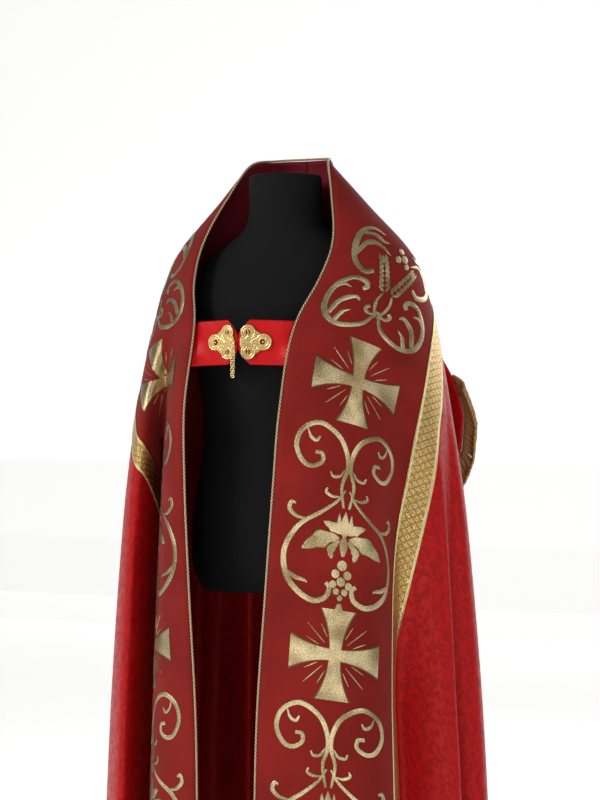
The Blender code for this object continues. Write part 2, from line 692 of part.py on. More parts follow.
def turned(name, middle_y, profile, paint):
    """A round piece turned from a profile of (radius, height), listed from the top down."""
    mesh = bpy.data.meshes.new(name)
    mesh.from_pydata([(r, 0.0, z) for r, z in profile], [(k, k + 1) for k in range(len(profile) - 1)], [])
    made = bpy.data.objects.new(name, mesh)
    build.objects.link(made)
    made.location.y = middle_y
    screw = made.modifiers.new("turn", "SCREW")
    screw.steps = 48
    screw.render_steps = 48
    screw.use_merge_vertices = True
    screw.merge_threshold = 0.00005
    screw.use_normal_calculate = False
    mesh.materials.append(material(name, *paint))
    return made


form_torso()
neck = FORM[-1]
cap_low = neck.height + 0.0003
turned(
    "form_neck_cap", neck.middle_y,
    [
        (0.0, cap_low + CAP_HEIGHT), (0.050, cap_low + CAP_HEIGHT - 0.0006),
        (0.060, cap_low + CAP_HEIGHT - 0.003), (0.0635, cap_low + 0.001),
        (0.0635, cap_low), (0.0, cap_low),
    ],
    (BLACK, 0.8),
)
turned(
    "form_pole", 0.0,
    [
        (0.0, FORM[0].height - 0.0003), (POLE_RADIUS, FORM[0].height - 0.0003),
        (POLE_RADIUS, BASE_HEIGHT + 0.0003), (0.0, BASE_HEIGHT + 0.0003),
    ],
    (STEEL, 0.35, 1.0),
)
turned(
    "form_base", 0.0,
    [
        (0.0, BASE_HEIGHT), (0.060, BASE_HEIGHT), (0.170, 0.014),
        (BASE_RADIUS - 0.004, 0.010), (BASE_RADIUS, 0.006), (BASE_RADIUS, 0.0), (0.0, 0.0),
    ],
    (BLACK, 0.5),
)
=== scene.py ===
# %% [markdown]
# # A cope on a dress form
# A cope is a half circle of cloth, worn like a cloak and open down the front. Its straight edge makes
# both front edges and the neck, and a decorated band, the orphrey, is sewn all along it. The whole
# garment is worked out here from one drape: a function that takes a place on the flat cut to the
# place where that bit of cloth hangs. Every layer uses it, so the layers lie on each other.

import math
from collections import namedtuple
from functools import partial

import bmesh
import bpy
import numpy as np
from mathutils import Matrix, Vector


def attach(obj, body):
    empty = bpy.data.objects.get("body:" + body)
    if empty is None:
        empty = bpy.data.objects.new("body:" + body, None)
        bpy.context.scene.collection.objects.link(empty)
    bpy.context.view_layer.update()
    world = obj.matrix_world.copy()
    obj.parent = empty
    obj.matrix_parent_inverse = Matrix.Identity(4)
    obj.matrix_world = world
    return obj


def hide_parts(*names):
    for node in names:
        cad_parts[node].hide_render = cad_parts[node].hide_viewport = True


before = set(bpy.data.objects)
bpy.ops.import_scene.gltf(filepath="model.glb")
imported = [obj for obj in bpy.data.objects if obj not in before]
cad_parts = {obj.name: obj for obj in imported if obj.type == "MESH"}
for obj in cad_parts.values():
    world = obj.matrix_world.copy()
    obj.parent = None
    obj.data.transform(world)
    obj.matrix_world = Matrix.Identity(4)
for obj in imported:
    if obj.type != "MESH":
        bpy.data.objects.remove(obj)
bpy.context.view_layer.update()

# %% Sizes of the cut, in metres
EDGE_LENGTH = 1.60  # straight edge, centre back to hem corner
BACK_DEPTH = 1.47  # centre back, neck edge to hem
ORPHREY_WIDTH = 0.268
GALLOON_WIDTH = 0.046
FACING_WIDTH = 0.180
OUTER_LINE = ORPHREY_WIDTH + 0.5 * GALLOON_WIDTH
SEAM_GAP = 0.0004
LAYER_GAP = 0.0004
CENTRE_BACK = 0.00004  # where the left and right bands start
SATIN = 0.0020
ORPHREY_CLOTH = 0.0015
FACING_CLOTH = 0.0010
GALLOON_CLOTH = 0.0010

# %% [markdown]
# ## Colours, nodes and tables
# Colours are written as hex codes and turned into linear light. One helper adds any shader node. One
# function draws a smooth curve through any named column of a table.


# %% Helpers
def srgb(code):
    """Linear colour from a hex code such as #c4121a."""
    parts = [int(code[k : k + 2], 16) / 255 for k in (1, 3, 5)]
    linear = [p / 12.92 if p <= 0.04045 else ((p + 0.055) / 1.055) ** 2.4 for p in parts]
    return (*linear, 1.0)


def add_node(tree, kind, inputs, out=0, **settings):
    """Adds one shader node, sets or links its inputs, and returns one of its outputs."""
    node = tree.nodes.new("ShaderNode" + kind)
    for name, value in settings.items():
        setattr(node, name, value)
    for name, value in inputs.items():
        if isinstance(value, bpy.types.NodeSocket):
            tree.links.new(value, node.inputs[name])
        else:
            node.inputs[name].default_value = value
    return node.outputs[out]


def new_material(name, code, roughness, metallic=0.0, specular=0.5, sheen=0.0):
    """The material, add_node for its tree, and its shader."""
    made = bpy.data.materials.new(name)
    made.use_nodes = True
    shader = made.node_tree.nodes["Principled BSDF"]
    shader.inputs["Base Color"].default_value = srgb(code)
    shader.inputs["Roughness"].default_value = roughness
    shader.inputs["Metallic"].default_value = metallic
    shader.inputs["Specular IOR Level"].default_value = specular
    shader.inputs["Sheen Weight"].default_value = sheen
    return made, partial(add_node, made.node_tree), shader


def colour_and_relief(shader, colour, height, depth):
    """Links a shader's colour, and a relief this deep in metres."""
    tree = shader.id_data
    relief = add_node(tree, "Bump", {"Height": height, "Distance": depth})
    tree.links.new(colour, shader.inputs["Base Color"])
    tree.links.new(relief, shader.inputs["Normal"])


def column(rows, name):
    return np.array([getattr(row, name) for row in rows])


def smooth_column(rows, place_name, name, at):
    """One column of a table at the given places, as a smooth curve through the rows."""
    places = column(rows, place_name)
    values = column(rows, name)
    slopes = np.gradient(values, places)
    row = np.clip(np.searchsorted(places, at, side="right") - 1, 0, len(places) - 2)
    gap = places[row + 1] - places[row]
    t = (at - places[row]) / gap
    start = (2 * t**3 - 3 * t**2 + 1) * values[row] + (t**3 - 2 * t**2 + t) * gap * slopes[row]
    end = (3 * t**2 - 2 * t**3) * values[row + 1] + (t**3 - t**2) * gap * slopes[row + 1]
    return start + end

# %% [markdown]
# ## Camera and light
# The camera stands a little to the garment's left, at chest height, with a long lens that keeps the
# folds upright. It is set first, so that every piece can be judged from the right place.

# %% Camera
AZIMUTH = math.radians(27.0)
CAMERA_DISTANCE = 4.5
FRAME_HEIGHT = 1.40
FRAME_MIDDLE = (0.030, 1.112)  # sideways from the form's axis, and up
camera_right = Vector((math.cos(AZIMUTH), math.sin(AZIMUTH), 0.0))
camera_back = Vector((math.sin(AZIMUTH), -math.cos(AZIMUTH), 0.0))
aim = camera_right * FRAME_MIDDLE[0] + Vector((0.0, 0.0, FRAME_MIDDLE[1]))
camera_data = bpy.data.cameras.new("camera")
camera_data.lens = 36.0 * CAMERA_DISTANCE / FRAME_HEIGHT
camera = bpy.data.objects.new("camera", camera_data)
bpy.context.scene.collection.objects.link(camera)
camera.location = aim + camera_back * CAMERA_DISTANCE
camera.rotation_euler = (aim - camera.location).to_track_quat("-Z", "Y").to_euler()
bpy.context.scene.camera = camera
print("camera lens", round(camera_data.lens, 1), "mm")


# %% Light
def soft_light(name, place, size, power):
    """A square studio lamp that points at the middle of the garment."""
    data = bpy.data.lights.new(name, "AREA")
    data.size = size
    data.energy = power
    lamp = bpy.data.objects.new(name, data)
    bpy.context.scene.collection.objects.link(lamp)
    lamp.location = place
    aim_at = Vector((0.0, 0.0, 1.0))
    lamp.rotation_euler = (aim_at - lamp.location).to_track_quat("-Z", "Y").to_euler()


soft_light("key_light", (-2.3, -3.2, 2.7), 1.6, 100.0)
soft_light("low_light", (0.9, -3.5, 0.5), 0.8, 16.0)
soft_light("right_light", (3.4, -2.2, 2.2), 1.8, 31.0)
soft_light("back_light", (0.6, 3.2, 2.6), 2.0, 40.0)
world = bpy.data.worlds.new("studio")
bpy.context.scene.world = world
world.use_nodes = True
room = world.node_tree.nodes["Background"]
room.inputs["Color"].default_value = (1.0, 1.0, 1.0, 1.0)
# The camera sees a white room, and the cloth is lit by a dimmer one.
seen = add_node(world.node_tree, "LightPath", {}, "Is Camera Ray")
strength = add_node(world.node_tree, "MapRange", {"Value": seen, "To Min": 0.35, "To Max": 1.0})
world.node_tree.links.new(strength, room.inputs["Strength"])
bpy.context.scene.view_settings.view_transform = "Standard"
print(len(bpy.data.lights), "lamps")

# %% [markdown]
# ## Materials
# Each material starts from the real stuff: satin damask, a dull woven band, gold metallic thread,
# polished brass. Patterns are sized in real millimetres from the piece's own UV map, which holds the
# flat cut in metres, so a pattern follows the cloth round every fold.

# %% Settings that several materials share
SMOOTH = {"interpolation_type": "SMOOTHSTEP"}
COLOURS = {"data_type": "RGBA"}


# %% Satin damask, with its tone-on-tone figure
def satin_damask(name, light, dark, figured):
    """Leafy patches about 20 mm across, woven in the same colour with less shine."""
    made, node, shader = new_material(name, light, 0.44, specular=0.40)
    shader.inputs["Specular Tint"].default_value = srgb("#ff9a94")
    place = node("UVMap", {}, uv_map="flat_cut")
    bend = node("TexNoise", {"Vector": place, "Scale": 14.0, "Detail": 1.0}, "Color")
    shift = node("VectorMath", {0: bend, 1: (0.05, 0.05, 0.0)}, operation="MULTIPLY")
    turned = node("VectorMath", {0: place, 1: shift}, operation="ADD")
    cells = node("TexVoronoi", {"Vector": turned, "Scale": 46.0, "Randomness": 0.85})
    veins = node("TexNoise", {"Vector": turned, "Scale": 95.0, "Detail": 2.0})
    leaf = node("MapRange", {0: cells, 1: 0.30, 2: 0.42}, **SMOOTH)
    vein = node("MapRange", {0: veins, 1: 0.42, 2: 0.56}, **SMOOTH)
    both = node("Math", {0: leaf, 1: vein}, operation="MULTIPLY")
    figure = node("Math", {0: both, 1: figured}, operation="MULTIPLY")
    colour = node("Mix", {0: figure, 6: srgb(light), 7: srgb(dark)}, 2, **COLOURS)
    rough = node("Math", {0: figure, 1: 0.14, 2: 0.38}, operation="MULTIPLY_ADD")
    weave = node("TexNoise", {"Vector": place, "Scale": 700.0, "Detail": 2.0})
    height = node("Math", {0: weave, 1: 0.8, 2: figure}, operation="MULTIPLY_ADD")
    shader.id_data.links.new(rough, shader.inputs["Roughness"])
    colour_and_relief(shader, colour, height, 0.0003)
    return made


scarlet_damask = satin_damask("scarlet_damask", "#a80c10", "#8c090d", 0.8)
strap_satin = satin_damask("strap_satin", "#b00b0f", "#b00b0f", 0.1)


# %% The dull cloths: the orphrey's ground and the facing
def woven_cloth(name, code, shade, roughness):
    made, node, shader = new_material(name, code, roughness, specular=0.25, sheen=0.03)
    shader.inputs["Specular Tint"].default_value = srgb("#ffb4a8")
    place = node("UVMap", {}, uv_map="flat_cut")
    grain = node("TexNoise", {"Vector": place, "Scale": 420.0, "Detail": 3.0})
    # The broad patches that lean to the darker colour are painted shade, standing for soft folds in shadow;
    # the fine grain is the weave itself.
    painted_shade_patch = node("TexNoise", {"Vector": place, "Scale": 9.0, "Detail": 2.0})
    weave_and_painted_shade = node("Math", {0: grain, 1: painted_shade_patch}, operation="ADD")
    share = node("MapRange", {0: weave_and_painted_shade, 1: 0.7, 2: 1.3}, **SMOOTH)
    colour = node("Mix", {0: share, 6: srgb(code), 7: srgb(shade)}, 2, **COLOURS)
    colour_and_relief(shader, colour, grain, 0.0004)
    return made


# The second colour of each cloth is the painted shade in its broad patches.
orphrey_ground = woven_cloth("orphrey_ground", "#801b17", "#681411", 0.80)
facing_cloth = woven_cloth("facing_cloth", "#6e1020", "#5c0d1a", 0.70)


# %% Gold thread, gold braid and gold cord
def gold_thread():
    """Flat-laid gold thread. Its UV runs along a motif, and across it from 0 to 1."""
    made, node, shader = new_material("motif_gold", "#c0ae84", 0.32, 1.0)
    motif = node("UVMap", {}, uv_map="motif")
    across = node("SeparateXYZ", {"Vector": motif}, "Y")
    place = node("UVMap", {}, uv_map="flat_cut")
    glints = node("TexNoise", {"Vector": place, "Scale": 420.0, "Detail": 3.0})
    painted_light_and_shade = node("TexNoise", {"Vector": place, "Scale": 22.0, "Detail": 1.0})
    tone = node("Math", {0: glints, 1: painted_light_and_shade}, operation="ADD")
    share = node("MapRange", {0: tone, 1: 0.75, 2: 1.3}, **SMOOTH)
    # The gold runs from a shaded to a lit colour: its fine bright specks are painted glints, and its broad
    # brighter and darker clouds are painted light and shade.
    gold = node("Mix", {0: share, 6: srgb("#86724f"), 7: srgb("#d0be94")}, 2, **COLOURS)
    from_middle = node("Math", {0: across, 1: 0.5}, operation="SUBTRACT")
    aside = node("Math", {0: from_middle}, operation="ABSOLUTE")
    # The ribbon's two edges, where the gold turns down to the cloth, are painted dark brown as shade.
    painted_edge_shade = node("MapRange", {0: aside, 1: 0.40, 2: 0.47}, **SMOOTH)
    colour = node("Mix", {0: painted_edge_shade, 6: gold, 7: srgb("#5f4024")}, 2, **COLOURS)
    colour_and_relief(shader, colour, glints, 0.0009)
    return made


def gold_weave():
    """Woven braid: a lattice of diamonds down the middle, and a plain bright border at each side."""
    made, node, shader = new_material("gold_braid", "#d8c690", 0.30, 1.0)
    place = node("UVMap", {}, uv_map="flat_cut")
    along = node("SeparateXYZ", {"Vector": place}, "X")
    across = node("SeparateXYZ", {"Vector": place}, "Y")
    from_middle = node("Math", {0: across, 1: ORPHREY_WIDTH}, operation="SUBTRACT")
    lines = []
    for way in (1.0, -1.0):
        slant = node("Math", {0: from_middle, 1: way, 2: along}, operation="MULTIPLY_ADD")
        turn = node("Math", {0: slant, 1: math.pi / 0.015}, operation="MULTIPLY")
        wave = node("Math", {0: turn}, operation="SINE")
        lines.append(node("Math", {0: wave}, operation="ABSOLUTE"))
    least = node("Math", {0: lines[0], 1: lines[1]}, operation="MINIMUM")
    lattice = node("MapRange", {0: least, 1: 0.10, 2: 0.34}, **SMOOTH)
    fine = node("TexNoise", {"Vector": place, "Scale": 420.0, "Detail": 2.0})
    thread = node("MapRange", {0: fine, 1: 0.30, 2: 0.62}, **SMOOTH)
    figure = node("Math", {0: lattice, 1: thread}, operation="MULTIPLY")
    aside = node("Math", {0: from_middle}, operation="ABSOLUTE")
    border = node("MapRange", {0: aside, 1: 0.0172, 2: 0.0186}, **SMOOTH)
    inner = node("Mix", {0: figure, 6: srgb("#9c7032"), 7: srgb("#dcc486")}, 2, **COLOURS)
    colour = node("Mix", {0: border, 6: inner, 7: srgb("#e6d498")}, 2, **COLOURS)
    raised = node("Math", {0: fine, 1: 0.5, 2: figure}, operation="MULTIPLY_ADD")
    height = node("Math", {0: raised, 1: border}, operation="ADD")
    colour_and_relief(shader, colour, height, 0.0007)
    return made


def twisted(name, code, shade, roughness, metallic, pitch):
    """A twisted cord. Its UV runs along the cord in metres, and once round it from 0 to 1."""
    made, node, shader = new_material(name, code, roughness, metallic)
    place = node("UVMap", {}, uv_map="flat_cut")
    along = node("SeparateXYZ", {"Vector": place}, "X")
    about = node("SeparateXYZ", {"Vector": place}, "Y")
    lean = node("Math", {0: about, 1: 4 * math.pi}, operation="MULTIPLY")
    turns = node("Math", {0: along, 1: 2 * math.pi / pitch, 2: lean}, operation="MULTIPLY_ADD")
    sine = node("Math", {0: turns}, operation="SINE")
    wave = node("Math", {0: sine, 1: 0.5, 2: 0.5}, operation="MULTIPLY_ADD")
    # The grooves of the twist, where the relief is low, take the darker colour as painted shade; the ridges
    # take the lighter one.
    colour = node("Mix", {0: wave, 6: srgb(shade), 7: srgb(code)}, 2, **COLOURS)
    colour_and_relief(shader, colour, wave, 0.0008)
    return made


motif_gold = gold_thread()
gold_braid = gold_weave()
gold_cord = twisted("gold_cord", "#cdb894", "#7c5c40", 0.42, 0.6, 0.006)
bullion = twisted("bullion", "#cfab6c", "#7d5830", 0.50, 0.45, 0.004)

# %% Plain materials
clasp_gold = new_material("clasp_gold", "#efd9a0", 0.26, 1.0)[0]
# The plates get a darker copy of the clasp gold: painted shade, as they lie under the wirework.
clasp_gold_shaded = new_material("clasp_gold_shaded", "#cdb070", 0.34, 1.0)[0]
form_jersey = new_material("form_jersey", "#09090b", 0.90, specular=0.2)[0]
pole_steel = new_material("pole_steel", "#8e8e90", 0.32, 1.0)[0]
base_black = new_material("base_black", "#101010", 0.45)[0]
print(len(bpy.data.materials), "materials")

# %% [markdown]
# ## The drape
# One table says where the front edge, the side and the centre back hang at each level of the cloth,
# and one says where the folds fall. A real cope hangs from the shoulders, so its folds start there
# and deepen to the hem. A smooth curve runs through the rows of each table.

# %% Where the cloth hangs
# One row for each level: where the front edge, the side and the centre back hang.
Level = namedtuple("Level", "edge front_x front_y front_z side_x side_y side_z back_y back_z")
LEVELS = [Level(*row) for row in [
    (0.000, 0.000, 0.100, 1.538, 0.000, 0.100, 1.538, 0.100, 1.538),
    (0.060, 0.052, 0.078, 1.536, 0.053, 0.077, 1.535, 0.103, 1.482),
    (0.120, 0.077, 0.028, 1.527, 0.082, 0.032, 1.520, 0.112, 1.428),
    (0.195, 0.105, -0.014, 1.467, 0.146, 0.034, 1.452, 0.138, 1.363),
    (0.314, 0.131, -0.070, 1.366, 0.230, 0.040, 1.356, 0.186, 1.265),
    (0.372, 0.124, -0.101, 1.316, 0.248, 0.041, 1.305, 0.209, 1.217),
    (0.450, 0.103, -0.137, 1.252, 0.265, 0.042, 1.232, 0.234, 1.149),
    (0.621, 0.094, -0.190, 1.090, 0.292, 0.045, 1.075, 0.264, 0.996),
    (0.736, 0.088, -0.199, 0.975, 0.309, 0.046, 0.965, 0.276, 0.891),
    (0.922, 0.076, -0.205, 0.790, 0.328, 0.046, 0.785, 0.290, 0.721),
    (1.124, 0.062, -0.208, 0.588, 0.344, 0.046, 0.588, 0.300, 0.535),
    (1.360, 0.057, -0.210, 0.352, 0.357, 0.046, 0.355, 0.308, 0.318),
    (1.600, 0.055, -0.212, 0.112, 0.368, 0.046, 0.112, 0.316, 0.097),
]]
# One row for each fold: angle from the centre back, in degrees, then its full depth and half width,
# how far its floor leans, and the edge distances at which it starts and is full.
Fold = namedtuple("Fold", "angle depth half_width lean start full")
FOLDS = [Fold(*row) for row in [
    (115.0, 0.102, 0.064, 0.00, 0.52, 1.12),
    (90.0, 0.085, 0.026, 0.05, 0.60, 1.60),
    (62.0, 0.125, 0.030, -0.05, 0.46, 1.60),
    (42.0, 0.130, 0.028, -0.10, 0.50, 1.60),
    (22.0, 0.145, 0.030, 0.12, 0.44, 1.60),
    (2.0, 0.130, 0.028, -0.10, 0.48, 1.60),
    (-18.0, 0.145, 0.030, 0.12, 0.46, 1.60),
    (-38.0, 0.130, 0.027, -0.12, 0.50, 1.60),
    (-60.0, 0.130, 0.030, 0.05, 0.44, 1.60),
    (-86.0, 0.110, 0.028, -0.05, 0.50, 1.60),
    (-145.0, 0.120, 0.030, -1.00, 0.46, 0.80),
]]
FOLD_GROWTH = 0.90
print(len(LEVELS), "levels,", len(FOLDS), "folds")


# %% The outline of each level, and its folds
def level_at(edge, name):
    return smooth_column(LEVELS, "edge", name, np.clip(edge, 0.0, EDGE_LENGTH))


def front_angle(edge):
    """The angle, from the centre back, at which a level's front edge hangs."""
    reach = np.clip(level_at(edge, "front_x") / np.maximum(level_at(edge, "side_x"), 1e-6), 0.0, 1.0)
    return math.pi - np.arcsin(reach)


def level_outline(edge, angle):
    """A point of the level's outline, before its folds."""
    turn = np.abs(angle)
    behind = np.maximum(np.cos(turn), 0.0)
    before = np.maximum(-np.cos(turn), 0.0) / np.maximum(-np.cos(front_angle(edge)), 0.02)
    parts = [level_at(edge, "side_x") * np.sin(turn) * np.sign(angle)]
    for axis, power in (("y", 1), ("z", 2)):
        front, side, back = (level_at(edge, f"{place}_{axis}") for place in ("front", "side", "back"))
        parts.append(side + (back - side) * behind**power + (front - side) * before**power)
    return np.stack(parts, axis=-1)


def hanging_point(edge, angle):
    """A point of the cloth: the outline with every fold pressed into it."""
    edge, angle = np.broadcast_arrays(edge, angle)
    point = level_outline(edge, angle)
    width = level_at(edge, "side_x")
    depth = 0.5 * (level_at(edge, "back_y") - level_at(edge, "front_y"))
    inward = np.stack([-np.sin(angle) * depth, -np.cos(angle) * width, 0 * edge], axis=-1)
    inward = inward / np.maximum(np.linalg.norm(inward, axis=-1, keepdims=True), 1e-9)
    sideways = np.stack([-inward[..., 1], inward[..., 0], 0 * edge], axis=-1)
    girth = np.maximum(0.5 * (width + depth), 0.05)
    for fold in FOLDS:
        grown = np.clip((edge - fold.start) / (fold.full - fold.start), 0.0, 1.0) ** FOLD_GROWTH
        away = (angle - math.radians(fold.angle)) * girth / fold.half_width
        press = (fold.depth * grown * np.exp(-(away**2)))[..., None]
        point = point + inward * press - sideways * press * fold.lean
    return point


# %% [markdown]
# The next functions go from the flat cut to the hanging cloth. Near the front edge the cloth keeps
# its true length, so the orphrey keeps its true width; the fullness behind it goes into the folds.

# %% From the flat cut to the hanging cloth
TABLE_ROWS = 161
TABLE_STEPS = 1201
FRAME_STEP = 0.003
FRAME_REACH = 0.015
TRUE_LENGTH = 0.33  # the cloth keeps its true length this far in from the front edge
table_edges = np.linspace(0.0003, EDGE_LENGTH, TABLE_ROWS)
ellipse_turns = np.linspace(0.0, 0.5 * math.pi, 801)
ellipse_steps = np.hypot(EDGE_LENGTH * np.sin(ellipse_turns), BACK_DEPTH * np.cos(ellipse_turns))
ellipse_arcs = np.concatenate([[0.0], np.cumsum(0.5 * (ellipse_steps[1:] + ellipse_steps[:-1]))])
ellipse_arcs = ellipse_arcs * (ellipse_turns[1] - ellipse_turns[0])
QUARTER_HEM = ellipse_arcs[-1]


def angle_tables(side):
    """For each level, the angle at each even step of length from the front edge to the centre back."""
    angles = np.zeros((TABLE_ROWS, TABLE_STEPS))
    lengths = np.zeros(TABLE_ROWS)
    even = np.linspace(0.0, 1.0, TABLE_STEPS)
    for row, edge in enumerate(table_edges):
        turn = np.linspace(float(front_angle(edge)), 0.0, TABLE_STEPS)
        points = hanging_point(edge, side * turn)
        steps = np.linalg.norm(np.diff(points, axis=0), axis=1)
        arc = np.concatenate([[0.0], np.cumsum(steps)])
        lengths[row] = arc[-1]
        angles[row] = np.interp(even, arc / arc[-1], turn)
    return angles, lengths


TABLES = {1: angle_tables(1), -1: angle_tables(-1)}
print("hem round the back hangs", round(TABLES[1][1][-1] + TABLES[-1][1][-1], 2), "m")


def place_on_level(along, across):
    """The level and the angle of each place on the flat cut."""
    side = np.where(along < 0, -1, 1)
    reach = np.hypot(along / EDGE_LENGTH, across / BACK_DEPTH)
    turn = np.arctan2(across / BACK_DEPTH, np.abs(along) / EDGE_LENGTH)
    flat = reach * np.interp(turn, ellipse_turns, ellipse_arcs)
    half = np.maximum(reach * QUARTER_HEM, 1e-6)
    edge = np.clip(reach * EDGE_LENGTH, table_edges[0], EDGE_LENGTH)
    row = (edge - table_edges[0]) / (table_edges[1] - table_edges[0])
    low = np.clip(row.astype(int), 0, TABLE_ROWS - 2)
    part = row - low
    result = np.zeros_like(edge)
    for sign in (1, -1):
        angles, lengths = TABLES[sign]
        length = lengths[low] * (1 - part) + lengths[low + 1] * part
        true = np.minimum(TRUE_LENGTH, 0.45 * np.minimum(half, length))
        rest = true + (flat - true) * (length - true) / np.maximum(half - true, 1e-6)
        hung = np.where(flat < true, flat, rest) / length
        step = np.clip(hung, 0.0, 1.0) * (TABLE_STEPS - 1)
        left = np.clip(step.astype(int), 0, TABLE_STEPS - 2)
        over = step - left
        first = angles[low, left] * (1 - over) + angles[low, left + 1] * over
        second = angles[low + 1, left] * (1 - over) + angles[low + 1, left + 1] * over
        result = np.where(side == sign, sign * (first * (1 - part) + second * part), result)
    return edge, result


def cloth_point(along, across):
    return hanging_point(*place_on_level(*np.broadcast_arrays(along, across)))


def unit(vectors):
    return vectors / np.maximum(np.linalg.norm(vectors, axis=-1, keepdims=True), 1e-12)


def cloth_frame(along, across):
    """Point, outward normal, and the direction away from the straight edge, within the cloth."""
    down = cloth_point(along + FRAME_STEP, across) - cloth_point(along - FRAME_STEP, across)
    inner = np.maximum(across - FRAME_REACH, 0.0)
    away = cloth_point(along, inner + 2 * FRAME_REACH) - cloth_point(along, inner)
    normal = unit(np.cross(down, away))
    return cloth_point(along, across), normal, unit(away)


def level_frame(edge, angle):
    """Point and outward normal of the cloth at a level and angle."""
    up = np.clip(edge - FRAME_STEP, 0.0, EDGE_LENGTH)
    low = np.clip(edge + FRAME_STEP, 0.0, EDGE_LENGTH)
    down = hanging_point(low, angle) - hanging_point(up, angle)
    round_back = hanging_point(edge, angle - 0.01) - hanging_point(edge, angle + 0.01)
    return hanging_point(edge, angle), unit(np.cross(down, round_back))


# %% [markdown]
# ## A sheet of cloth
# Each sheet starts as a flat grid, which is how cloth starts. Its points are then moved to where that
# bit of cloth hangs, the UV map keeps the flat cut, and a Solidify modifier gives the thickness.

# %% Sheets
def finish_piece(name, shape, paint, body="vestment"):
    """Turns a bmesh into a smooth-shaded object that rides on a body."""
    mesh = bpy.data.meshes.new(name)
    shape.to_mesh(mesh)
    shape.free()
    for face in mesh.polygons:
        face.use_smooth = True
    mesh.materials.append(paint)
    piece = bpy.data.objects.new(name, mesh)
    bpy.context.scene.collection.objects.link(piece)
    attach(piece, body)
    return piece


def grid_shape(columns, rows):
    """A flat grid with its points in rows, and each point's place from 0 to 1 both ways."""
    shape = bmesh.new()
    bmesh.ops.create_grid(shape, x_segments=columns, y_segments=rows, size=0.5)
    places = np.array([vert.co for vert in shape.verts])[:, :2] + 0.5
    return shape, places


def face_out(shape, faces, normals):
    """Turns the faces to look the way the normals do, which are given for each point."""
    agree = 0.0
    for face in faces:
        face.normal_update()
        agree += face.normal.dot(Vector(normals[face.verts[0]]))
    if agree < 0:
        bmesh.ops.reverse_faces(shape, faces=faces)


def hang(shape, points, flat_places, normals):
    """Moves the grid's points, and keeps the flat cut as the UV map."""
    shape.verts.index_update()
    for vert, point in zip(shape.verts, points):
        vert.co = point
    layer = shape.loops.layers.uv.new("flat_cut")
    for face in shape.faces:
        for loop in face.loops:
            loop[layer].uv = flat_places[loop.vert.index]
    face_out(shape, shape.faces[:], dict(zip(shape.verts, normals)))


def thicken(piece, thickness):
    wall = piece.modifiers.new("thickness", "SOLIDIFY")
    wall.thickness = thickness
    wall.offset = -1.0
    return piece


def strip_sheet(name, side, band):
    """A band along the straight edge, between two distances in from it."""
    shape, places = grid_shape(band.columns, band.rows)
    across = band.first + (band.last - band.first) * places[:, 0]
    start = CENTRE_BACK + (EDGE_LENGTH - CENTRE_BACK) * places[:, 1]
    along = side * start * np.sqrt(1 - (across / BACK_DEPTH) ** 2)
    point, normal, _ = cloth_frame(along, across)
    hang(shape, point + normal * band.lift, np.stack([along, across], axis=-1), normal)
    return thicken(finish_piece(name, shape, band.paint), band.cloth)


# %% [markdown]
# ## The half circle of satin
# The body of the cope is one half circle of damask. Its rows run round the back from seam to seam,
# and all meet near the centre back of the orphrey's seam, like the rings of a half target.

# %% Body
# One row for each small crease: its angle from the centre back, how far that angle drifts by its low
# end, the edge distances where it starts and ends, its depth (less than 0 is a ridge), and half width.
Crease = namedtuple("Crease", "angle drift start end depth half_width")
CREASES = [Crease(*row) for row in [
    (101.0, -3.0, 0.62, 1.20, 0.0055, 0.012), (84.0, 4.0, 0.50, 0.95, 0.0060, 0.016),
    (72.0, -5.0, 0.78, 1.48, -0.0050, 0.011), (66.0, 3.0, 0.44, 0.82, 0.0050, 0.014),
    (53.0, 2.0, 0.60, 1.30, 0.0030, 0.010), (31.0, -4.0, 0.90, 1.55, -0.0040, 0.012),
    (12.0, 3.0, 0.85, 1.40, 0.0035, 0.013), (-8.0, -2.0, 0.95, 1.58, -0.0030, 0.010),
    (-29.0, 4.0, 0.80, 1.35, 0.0040, 0.012), (-49.0, -3.0, 0.62, 1.10, 0.0030, 0.013),
    (-72.0, 4.0, 0.50, 1.25, -0.0035, 0.012), (-98.0, -4.0, 0.56, 1.05, 0.0040, 0.015),
    (-108.0, 2.0, 0.90, 1.45, 0.0030, 0.011),
]]


def crease_depth(edge, angle):
    """How far the small creases press the cloth in."""
    total = np.zeros_like(edge)
    for crease in CREASES:
        run = np.clip((edge - crease.start) / (crease.end - crease.start), 0.0, 1.0)
        middle = np.radians(crease.angle + crease.drift * run)
        aside = (angle - middle) * level_at(edge, "side_x") / crease.half_width
        total = total + crease.depth * np.sin(math.pi * run) ** 1.5 * np.exp(-(aside**2))
    return total


BODY_COLUMNS = 380
BODY_ROWS = 130
seam = ORPHREY_WIDTH + SEAM_GAP
shape, places = grid_shape(BODY_COLUMNS, BODY_ROWS)
first_reach = seam / BACK_DEPTH + 0.00002
reach = first_reach + (1 - first_reach) * places[:, 1] ** 1.2
seam_turn = np.arcsin(np.clip(seam / BACK_DEPTH / reach, 0.0, 1.0))
seam_turn = np.minimum(seam_turn, 0.5 * math.pi - 0.002)
turn = seam_turn + (math.pi - 2 * seam_turn) * places[:, 0]
body_along = EDGE_LENGTH * reach * np.cos(turn)
body_across = BACK_DEPTH * reach * np.sin(turn)
body_edge, body_angle = place_on_level(body_along, body_across)
body_point, body_normal = level_frame(body_edge, body_angle)
body_point = body_point - body_normal * crease_depth(body_edge, body_angle)[:, None]
hang(shape, body_point, np.stack([body_along, body_across], axis=-1), body_normal)
body = thicken(finish_piece("cope_body", shape, scarlet_damask), SATIN)
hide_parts("body")

# %% [markdown]
# ## Orphrey, facing, galloon and piping
# The orphrey is a separate, duller band sewn along the straight edge. The facing is the cloth turned
# in behind it. A gold braid, the galloon, covers the seam, and a fine gold cord edges the front.

